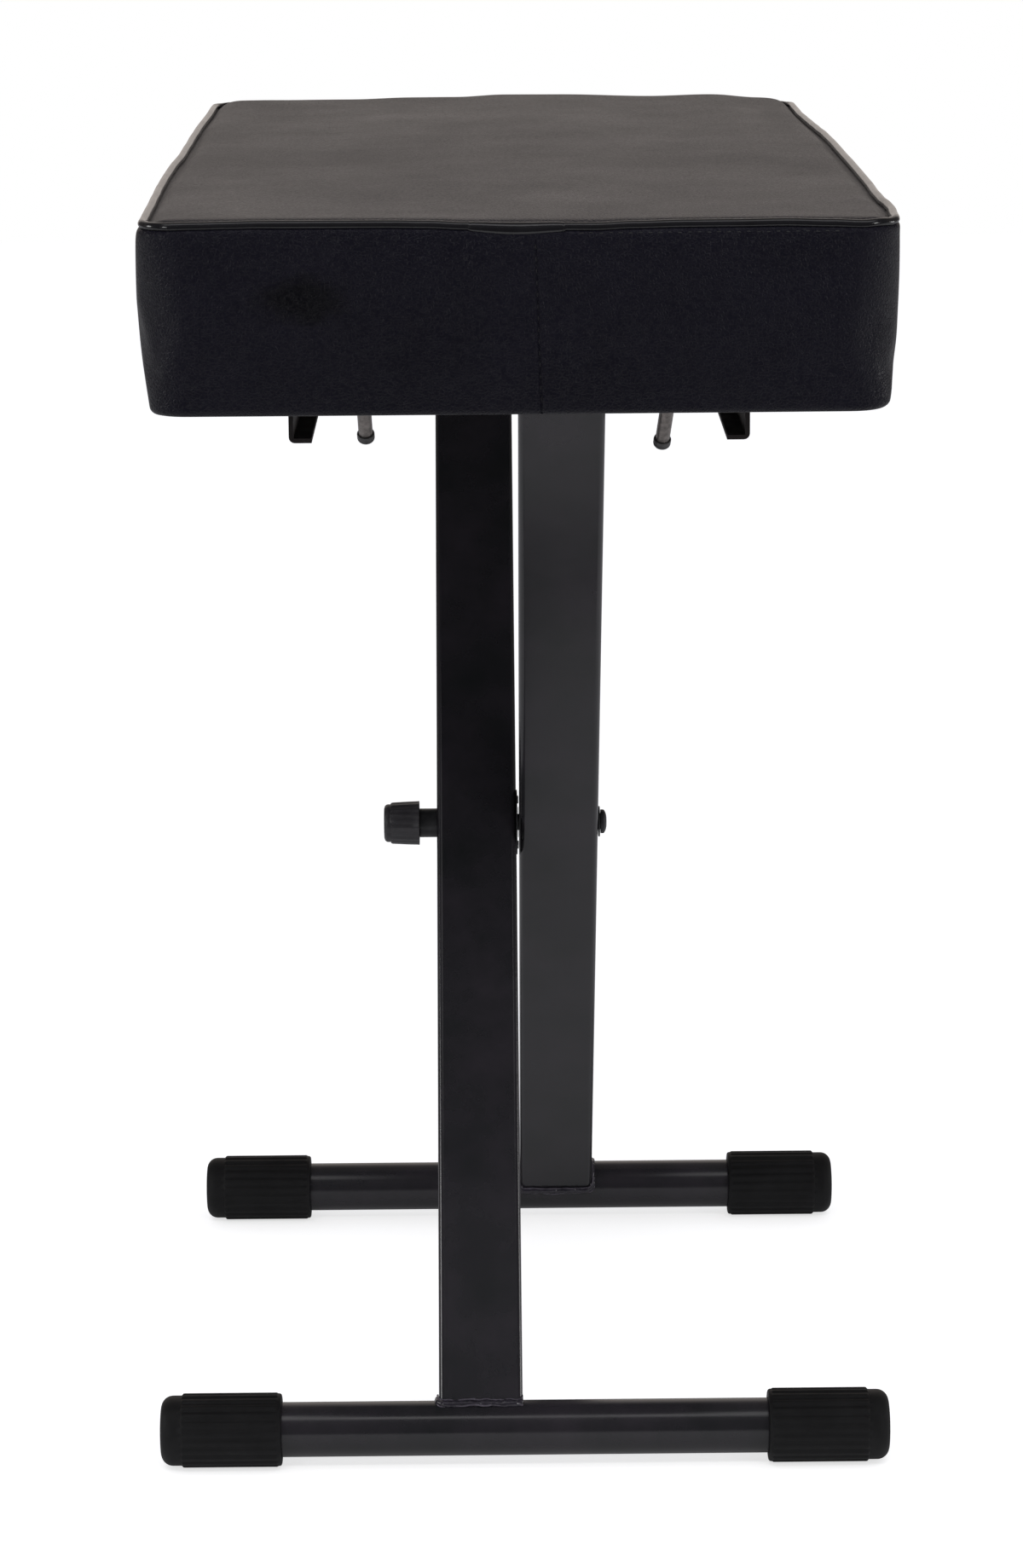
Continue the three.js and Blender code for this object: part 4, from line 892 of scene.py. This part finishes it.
def top_rise(x, y):
    """Height of the top sheet above the underside at a place in from its seam."""
    side = HALF_WIDTH - SEAM_INSET - abs(x)
    near, far = y + HALF_LENGTH - SEAM_INSET, HALF_LENGTH - SEAM_INSET - y
    back = clamp(near / 560)
    fullness = read_off(FAR_FULLNESS, share_across(x)) * back * back * (3 - 2 * back)
    plate = PLATE + (CROWN_HEIGHT - SEAM_HEIGHT - PLATE) * fullness
    hug = 1.0
    for distance, softness in ((side, 1.8), (near, 1.8), (far, 4.0)):
        hug *= 1 - exp(-max(0, distance) / softness)
    return SEAM_HEIGHT - TUCK + (plate + TUCK) * hug


print("boxing rows:", len(BOXING_ROWS))

# %% Cover before it is filled
GRID_ACROSS, GRID_ALONG = 74, 148
shape = bmesh.new()
bmesh.ops.create_grid(shape, x_segments=GRID_ACROSS, y_segments=GRID_ALONG, size=1)
seam_level = shape.verts.layers.float.new("held")
outline_share = {}
for vert in shape.verts:
    across, along = vert.co.x, vert.co.y
    x, y = rounded_place(across, along, SEAM_INSET, GRID_CROWD)
    if vert.is_boundary:
        outline_share[vert] = (across, along)
    vert.co = (x, y, SEAM_HEIGHT - TUCK if vert.is_boundary else top_rise(x, y))
ring_verts = list(outline_share)
for vert in ring_verts:
    vert[seam_level] = 1.0


def drop_ring(verts, inset, height, held):
    """Extrude the cover's lowest ring to a new inset and height. Below the seam the corners are rounder."""
    rounder = 6.0 * sin(pi * clamp((SEAM_HEIGHT - height) / (SEAM_HEIGHT + 6)))
    edges = [edge for edge in dict.fromkeys(edge for vert in verts for edge in vert.link_edges)
             if edge.is_boundary or edge.is_wire]
    made = set(bmesh.ops.extrude_edge_only(shape, edges=edges)["geom"])
    fresh = []
    for vert in verts:
        below = next(edge.other_vert(vert) for edge in vert.link_edges if edge.other_vert(vert) in made)
        outline_share[below] = outline_share[vert]
        x, y = rounded_place(*outline_share[vert], inset, rounder=rounder)
        below.co = (x, y, height)
        below[seam_level] = held
        fresh.append(below)
    return fresh


ring = ring_verts
for height in BOXING_ROWS:
    ring = drop_ring(ring, side_inset(height), height, 0.0)
for turn in (70, 45, 20, 0):
    inset = HEM_INSET + HEM_ROUND * (1 - sin(radians(turn)))
    ring = drop_ring(ring, inset, HEM_ROUND * (1 - cos(radians(turn))) - HEM_DROP, 1.0)
for inset, height in HEM_ROWS:
    ring = drop_ring(ring, inset, height, 1.0)
print("cover before filling:", len(shape.verts), "points")

# %% [markdown]
# The cloth runs for twenty frames under a light pressure with no gravity. Foam backs the cover, so
# each point takes only a part of its move, and never more than 1.2 mm: that keeps the pillowing
# inside the solid's own space.

# %% Filling the cover
FILL_PRESSURE, FILL_FRAMES, FILL_LIMIT, FOAM_GIVE, TOP_GIVE = 4.0, 20, 1.2, 0.5, 0.1
CLOTH = {
    "quality": 6, "mass": 0.25, "tension_stiffness": 60, "compression_stiffness": 60, "shear_stiffness": 30,
    "bending_stiffness": 5.0, "use_pressure": True, "uniform_pressure_force": FILL_PRESSURE,
    "vertex_group_mass": "held",
}


def put_in_order(parts, key):
    """Number a shape's parts by a key. Operators number them anew in each run, and that alters a cloth."""
    rank = {part: number for number, part in enumerate(sorted(parts, key=key))}
    parts.sort(key=rank.get)
    parts.index_update()


bmesh.ops.recalc_face_normals(shape, faces=shape.faces)
bmesh.ops.scale(shape, vec=(MM, MM, MM), verts=shape.verts)
bmesh.ops.translate(shape, vec=(0, 0, UNDERSIDE * MM), verts=shape.verts)
put_in_order(shape.verts, lambda vert: tuple(vert.co))
for parts in (shape.edges, shape.faces):
    put_in_order(parts, lambda part: sorted(vert.index for vert in part.verts))
cover_mesh = bpy.data.meshes.new("vinyl_cover")
held_verts = [index for index, vert in enumerate(shape.verts) if vert[seam_level] > 0.5]
shape.to_mesh(cover_mesh)
shape.free()
cover = link("vinyl_cover", cover_mesh)
held = cover.vertex_groups.new(name="held")
held.add(held_verts, 1.0, "REPLACE")
fill = cover.modifiers.new("fill", "CLOTH")
for name, value in CLOTH.items():
    setattr(fill.settings, name, value)
fill.settings.effector_weights.gravity = 0
fill.collision_settings.use_collision = False
fill.point_cache.frame_end = FILL_FRAMES
for frame_number in range(1, FILL_FRAMES + 1):
    scene.frame_set(frame_number)
filled = cover.evaluated_get(bpy.context.evaluated_depsgraph_get())
places = [vert.co.copy() for vert in filled.data.vertices]
cover.modifiers.remove(fill)
scene.frame_set(1)
furthest = 0.0
for vert, place in zip(cover_mesh.vertices, places):
    share = FOAM_GIVE if vert.co.z < (UNDERSIDE + SEAM_HEIGHT) * MM else TOP_GIVE
    move = (place - vert.co) * share
    furthest = max(furthest, move.length)
    if move.length > FILL_LIMIT * MM:
        move *= FILL_LIMIT * MM / move.length
    vert.co += move
print("the filling moved points by up to", round(furthest / MM, 1), "mm")

# %% [markdown]
# Sewing pulls the cover a little out of true: its piping wanders along both long sides, its top leans
# towards the left at the far end and sits a little higher on the left. The staples of the hem draw
# the boxing too. The tables hold how far, as measured on the photograph.

# %% Pull of the sewing
# Shift of the piping to the right in mm, from the near end (0) to the far end (1) of each long side.
LEFT_WANDER = (
    (0.0, 0.9), (0.03, 0.7), (0.12, 0.2), (0.19, -0.4), (0.26, -1.1), (0.34, -1.5), (0.42, -1.6), (0.5, -1.0),
    (0.585, -1.5), (0.68, -2.3), (0.77, -2.9), (0.86, -3.0), (0.97, -3.9), (1.0, -3.5))
RIGHT_WANDER = (
    (0.0, -0.9), (0.045, 0.1), (0.085, 0.9), (0.11, 0.7), (0.145, -0.3), (0.2, -0.6), (0.25, -0.3),
    (0.41, -0.4), (0.5, -0.6), (0.58, -0.5), (0.67, -0.9), (0.72, -1.8), (0.77, -2.5), (0.82, -3.1),
    (0.875, -3.7), (0.93, -3.3), (1.0, -2.9))
# Lift of the piping along the near end, from the left (0) to the right (1).
NEAR_LIFT = (
    (0.0, 1.3), (0.025, 1.0), (0.08, 1.35), (0.113, 1.6), (0.16, 1.9), (0.33, 2.0), (0.38, 1.8), (0.43, 1.15),
    (0.5, 1.0), (0.6, 0.8), (0.65, 1.5), (0.72, 2.0), (0.78, 2.1), (0.85, 2.4), (0.91, 2.0), (0.95, 1.6),
    (0.98, 2.3), (1.0, 2.6))
TOP_TILT, FAR_LIFT = 0.85, 1.6


def sewn_pull(place):
    """The same point in millimetres, after the pull of the sewing."""
    height = clamp((place.z - UNDERSIDE) / SEAM_HEIGHT)
    share, rightness = share_along(place.y), clamp(share_across(place.x))
    shift = read_off(LEFT_WANDER, share) * (1 - rightness) + read_off(RIGHT_WANDER, share) * rightness
    edge = min(1.0, max(abs(place.x) / HALF_WIDTH, abs(place.y) / HALF_LENGTH)) ** 12
    lift = (read_off(NEAR_LIFT, rightness) * (1 - share) + FAR_LIFT * share) * edge
    lift -= TOP_TILT * place.x / HALF_WIDTH
    return place + Vector((shift * height, 0, height ** 3 * lift))


def ripple_at(place):
    """Small waves in the cover beside the piping, in millimetres."""
    near_seam = exp(-abs(place.z - UNDERSIDE - SEAM_HEIGHT) / 12)
    return near_seam * 0.35 * noise.noise(Vector((place.x, place.y, 0)) * 0.03 + Vector((3, 7, 0)))


def hem_pull(place):
    """How the hem draws the boxing: a little to the left, and out and up at the near right corner."""
    height = place.z - UNDERSIDE
    low = clamp((SEAM_HEIGHT - 1 - height) / 4)
    shift = low * (share_along(place.y) * (0.9 - 1.25 * share_across(place.x)) - 0.55)
    near = bell(place.y + HALF_LENGTH, 16)
    full = near * bell(place.x - 150, 10) * (4.0 * bell(height - 4, 11) + 1.6 * bell(height - 25, 9))
    lift = near * bell(place.x - 152, 6) * 2.4 * max(0.0, 1 - max(0.0, height) / 10)
    return Vector((shift + full, 0, lift))


for vert in cover_mesh.vertices:
    place = vert.co / MM
    outward = Vector((place.x / HALF_WIDTH, place.y / HALF_LENGTH, 0))
    if outward.length > 0.9:
        pull = hem_pull(place)
        if place.z - UNDERSIDE > 4:
            place += outward.normalized() * ripple_at(place)
        place += pull
    else:
        place += Vector((0, 0, ripple_at(place) * 0.6))
    vert.co = sewn_pull(place) * MM
softened = cover.modifiers.new("softened", "SUBSURF")
softened.levels = softened.render_levels = 1
smooth_cover = bpy.data.meshes.new_from_object(cover.evaluated_get(bpy.context.evaluated_depsgraph_get()))
cover.modifiers.clear()
cover.data = smooth_cover
print("cover after smoothing:", len(smooth_cover.vertices), "points")

# %% [markdown]
# The boxing is one long strip, and its two ends are sewn together near the middle of the front. The
# seam pulls a narrow valley into the vinyl with a soft ridge along its right side, where the
# allowance lies behind. The cover is cut along the seam, only there, so the valley has points to bend.

# %% Seam in the boxing
SEAM_TOP, SEAM_BOTTOM = Vector((6.4, 0, 70.0)), Vector((8.6, 0, -1.0))
SEAM_CUTS = (-3.2, -2.2, -1.4, -0.8, -0.35, 0.0, 0.35, 0.8, 1.4, 2.2, 3.2)
VALLEY, VALLEY_WIDTH, RIDGE, RIDGE_WIDTH, RIDGE_OFF = 0.8, 0.45, 0.22, 1.1, 1.5
seam_run = (SEAM_BOTTOM - SEAM_TOP).normalized()
seam_across = Vector((-seam_run.z, 0, seam_run.x))
seam_start = SEAM_TOP + Vector((0, 0, UNDERSIDE))


def off_seam(place, reach):
    """How far right of the seam a place on the front is, or None when that is further than the reach."""
    off = (place - seam_start).dot(seam_across)
    on_front = place.y < -HALF_LENGTH + 9 and SEAM_BOTTOM.z < place.z - UNDERSIDE < SEAM_TOP.z + 1
    return off if on_front and abs(off) < reach else None


shape = bmesh.new()
shape.from_mesh(smooth_cover)
for cut in SEAM_CUTS:
    near = [face for face in shape.faces if off_seam(face.calc_center_median() / MM, 7) is not None]
    edges = dict.fromkeys(edge for face in near for edge in face.edges)
    verts = dict.fromkeys(vert for face in near for vert in face.verts)
    bmesh.ops.bisect_plane(shape, geom=[*near, *edges, *verts], dist=0.00002,
                           plane_co=(seam_start + seam_across * cut) * MM, plane_no=seam_across)
for vert in shape.verts:
    place = vert.co / MM
    off = off_seam(place, 6)
    if off is not None:
        fade = min(1, (SEAM_TOP.z + 1 - place.z + UNDERSIDE) / 4)
        vert.co.y += MM * fade * (VALLEY * bell(off, VALLEY_WIDTH)
                                  - RIDGE * bell(off - RIDGE_OFF, RIDGE_WIDTH))
shape.to_mesh(smooth_cover)
shape.free()
for face in smooth_cover.polygons:
    face.use_smooth = True
smooth_cover.materials.append(FINISHES["seat_vinyl"])
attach(cover, "seat")
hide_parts("seat_cover", "seat_foam")
print("cover box, mm:", [round(value / MM, 1) for value in cover.dimensions])

# %% [markdown]
# The piping is a cord in a strip of glossy vinyl, sewn into the seam all round. Its ends overlap near
# the middle of the front, where a short sleeve is wrapped over the joint.

# %% Piping
WELT_RADIUS, WELT_INSET, WELT_STEPS = 1.85, 1.85, 90


def welt_path():
    """Points round the seat at the piping's own height, evenly spaced."""
    up = [step / WELT_STEPS for step in range(-WELT_STEPS, WELT_STEPS)]
    down = [-share for share in up]
    square = [(1, share) for share in up] + [(share, 1) for share in down]
    square += [(-1, share) for share in down] + [(share, -1) for share in up]
    outline = (rounded_place(across, along, WELT_INSET) for across, along in square)
    return [sewn_pull(Vector((x, y, UNDERSIDE + SEAM_HEIGHT))) for x, y in outline]


welt_points = welt_path()
shape = swept(welt_points, lambda index: WELT_RADIUS * (1 + 0.02 * noise.noise(welt_points[index] * 0.08)),
              sides=20, closed=True)
finish_piece("piping", shape, "seat", "welt_vinyl", ["seat_welt"], sharp=80)
print("piping points:", len(welt_points))

# %% Sleeve over the piping's joint
SLEEVE_FROM, SLEEVE_TO, SLEEVE_STEPS = -20.0, 18.5, 48
front = [point for point in welt_points
         if point.y < -HALF_LENGTH + 12 and SLEEVE_FROM - 4 < point.x < SLEEVE_TO + 4]
front.sort(key=lambda point: point.x)
start, end = front[0], front[-1]
sleeve_path = []
for step in range(SLEEVE_STEPS + 1):
    share = step / SLEEVE_STEPS
    x = SLEEVE_FROM + (SLEEVE_TO - SLEEVE_FROM) * share
    sag = 0.7 * sin(pi * min(1, share * 1.05)) ** 1.4
    sleeve_path.append(start.lerp(end, (x - start.x) / (end.x - start.x)) + Vector((0, -0.1, -0.3 - sag)))


def sleeve_girth(index):
    share = index / SLEEVE_STEPS
    rim = min(1, min(share, 1 - share) / 0.04)
    return WELT_RADIUS + 0.35 * rim + 0.6 * sin(pi * share) + 0.06 * noise.noise(Vector((index * 0.4, 0, 0)))


finish_piece("piping_sleeve", swept(sleeve_path, sleeve_girth, sides=20), "seat", "welt_vinyl", sharp=50)
print("sleeve", round((sleeve_path[-1] - sleeve_path[0]).length, 1), "mm long")

# %% [markdown]
# The thread shows in three places: down the boxing seam, in a row below the piping on the right of
# the front, and in two short stitches that close the sleeve. Each stitch is a tiny arched cord.

# %% Stitches
THREAD_RADIUS = 0.24
SEAM_STITCHES, SEAM_PITCH, SEAM_STITCH = 14, 4.7, 1.7
ROW_STITCHES, ROW_START, ROW_PITCH, ROW_STITCH, ROW_BELOW = 27, 24, 3.9, 1.6, 1.6


def stitch(shape, start, end, outward, rise=0.18):
    path = [start.lerp(end, step / 4) + outward * (rise * sin(pi * step / 4) - 0.1) for step in range(5)]
    swept(path, lambda index: THREAD_RADIUS * (0.6 + 0.4 * sin(pi * index / 4)),
          sides=6, upright=outward, shape=shape)


def cover_front(x, z):
    """The front surface of the cover at a place, found by a ray from the near side."""
    found, place, normal, _ = cover.ray_cast(Vector((x, -400, z)) * MM, Vector((0, 1, 0)))
    return (place / MM, normal) if found else (Vector((x, -HALF_LENGTH, z)), Vector((0, -1, 0)))


def stitch_on_cover(shape, start, end, rise=0.18):
    from_place, outward = cover_front(start.x, start.z)
    stitch(shape, from_place, cover_front(end.x, end.z)[0], outward, rise)


bpy.context.view_layer.update()
shape = bmesh.new()
for number in range(SEAM_STITCHES):
    top = seam_start + seam_run * (3.2 + SEAM_PITCH * number) + seam_across * 0.15
    stitch_on_cover(shape, top, top + seam_run * SEAM_STITCH)
for number in range(ROW_STITCHES):
    height = UNDERSIDE + SEAM_HEIGHT - ROW_BELOW + 0.12 * sin(number * 2.3)
    left = Vector((ROW_START + ROW_PITCH * number, 0, height))
    stitch_on_cover(shape, left, left + ACROSS * ROW_STITCH, rise=0.1)
finish_piece("boxing_stitches", shape, "seat", "thread", sharp=80)
shape = bmesh.new()
sleeve_end = sleeve_path[-2]
outward = Vector((0, -1, 0.2)).normalized()
for lift_from, lift_to in ((1.2, 0.4), (-0.3, -1.4)):
    stitch(shape, sleeve_end + Vector((0, -2.05, lift_from)), sleeve_end + Vector((0, -2.0, lift_to)),
           outward, rise=0.3)
finish_piece("sleeve_stitches", shape, "seat", "thread", sharp=80)
print("stitches:", SEAM_STITCHES + ROW_STITCHES + 2)

# %% [markdown]
# Under the board a thin black cloth is stretched and stapled, so no raw wood shows. On the real bench
# its edges are turned in; here it is one flat sheet, which puckers a little between the staples.
# Staples are left out where the rails and hinge brackets lie over the edge.

# %% Dust cover
dust_low, dust_high = box_of("dust_cover")
DUST_WIDTH, DUST_LENGTH = dust_high.x - dust_low.x, dust_high.y - dust_low.y
CLOTH_THICKNESS, CLOTH_LIFT, CLOTH_TRIM = 0.35, 0.5, 0.3
STAPLE_PITCH, STAPLE_INSET, STAPLE_CROWN, STAPLE_WIRE = 41.0, 5.0, 9.5, 0.35
shape = bmesh.new()
bmesh.ops.create_grid(shape, x_segments=60, y_segments=132, size=1)
for vert in shape.verts:
    x, y = vert.co.x * (DUST_WIDTH / 2 - CLOTH_TRIM), vert.co.y * (DUST_LENGTH / 2 - CLOTH_TRIM)
    from_side, from_end = DUST_WIDTH / 2 - abs(x), DUST_LENGTH / 2 - abs(y)
    along = y if from_side < from_end else x
    pucker = 0.1 * cos(tau * along / STAPLE_PITCH) * exp(-min(from_side, from_end) / 14)
    sag = 0.16 * noise.noise(Vector((x, y, 0)) * 0.02)
    vert.co = (x, y, dust_low.z + CLOTH_LIFT + pucker + sag)
bmesh.ops.recalc_face_normals(shape, faces=shape.faces)
cloth = finish_piece("dust_cloth_sheet", shape, "seat", "dust_cloth", ["dust_cover"], sharp=80)
thick = cloth.modifiers.new("cloth_thickness", "SOLIDIFY")
thick.thickness = CLOTH_THICKNESS * MM
thick.offset = 0

# %% Staples
shape = bmesh.new()
staples = 0
prong = Vector((0, 0, 0.6))
for side in (-1, 1):
    for count, edge, row in ((13, Vector((DUST_WIDTH / 2 - STAPLE_INSET, 0, 0)), Vector((0, 1, 0))),
                             (6, Vector((0, DUST_LENGTH / 2 - STAPLE_INSET, 0)), ACROSS)):
        for number in range(count):
            run = (number - (count - 1) / 2) * STAPLE_PITCH
            middle = side * edge + row * run + Vector((0, 0, dust_low.z + 0.1))
            if abs(middle.x) > 78 and (-260 < middle.y < -100 or 195 < middle.y < 285):
                continue
            reach = row * STAPLE_CROWN / 2
            ends = [middle - reach + prong, middle - reach * 0.93,
                    middle + reach * 0.93, middle + reach + prong]
            swept(ends, lambda index: STAPLE_WIRE, upright=Vector((0.1, 0.2, 1)), shape=shape)
            staples += 1
finish_piece("staples", shape, "seat", "zinc_steel", sharp=40)
print(staples, "staples, cloth", round(DUST_WIDTH), "by", round(DUST_LENGTH), "mm")

# %% [markdown]
# The lock's return spring sits inside the left leg, between the barrel's spigot and the dog plate. The
# plate closes it up as the knob is pulled; here it is a coil of its own, made at its full length.

# %% Return spring
COIL_TURNS, COIL_STEPS, COIL_WIRE, KNOB_TRAVEL = 5, 32, 0.6, 6.0
coil_low, coil_high = box_of("lock_spring")
coil_start = Vector((coil_low.x, (coil_low.y + coil_high.y) / 2, (coil_low.z + coil_high.z) / 2))
coil_length = coil_high.x - coil_low.x
coil_radius = (coil_high.z - coil_low.z) / 2 - COIL_WIRE
coil = []
for step in range(COIL_TURNS * COIL_STEPS + 1):
    turn = tau * step / COIL_STEPS
    along = COIL_WIRE + (coil_length - 2 * COIL_WIRE) * step / (COIL_TURNS * COIL_STEPS)
    coil.append(coil_start + Vector((along, coil_radius * cos(turn), coil_radius * sin(turn))))
spring = finish_piece("return_spring", swept(coil, lambda index: COIL_WIRE, upright=ACROSS),
                      "leg_a", "spring_steel", ["lock_spring"])
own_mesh(spring)
print("return spring", round(coil_length, 1), "mm,", round(coil_length - KNOB_TRAVEL, 1), "mm when pulled")

# %% [markdown]
# Last, the box of the finished bench is measured, beside the box of the solids taken at the start.

# %% Box of the finished bench
low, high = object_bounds()
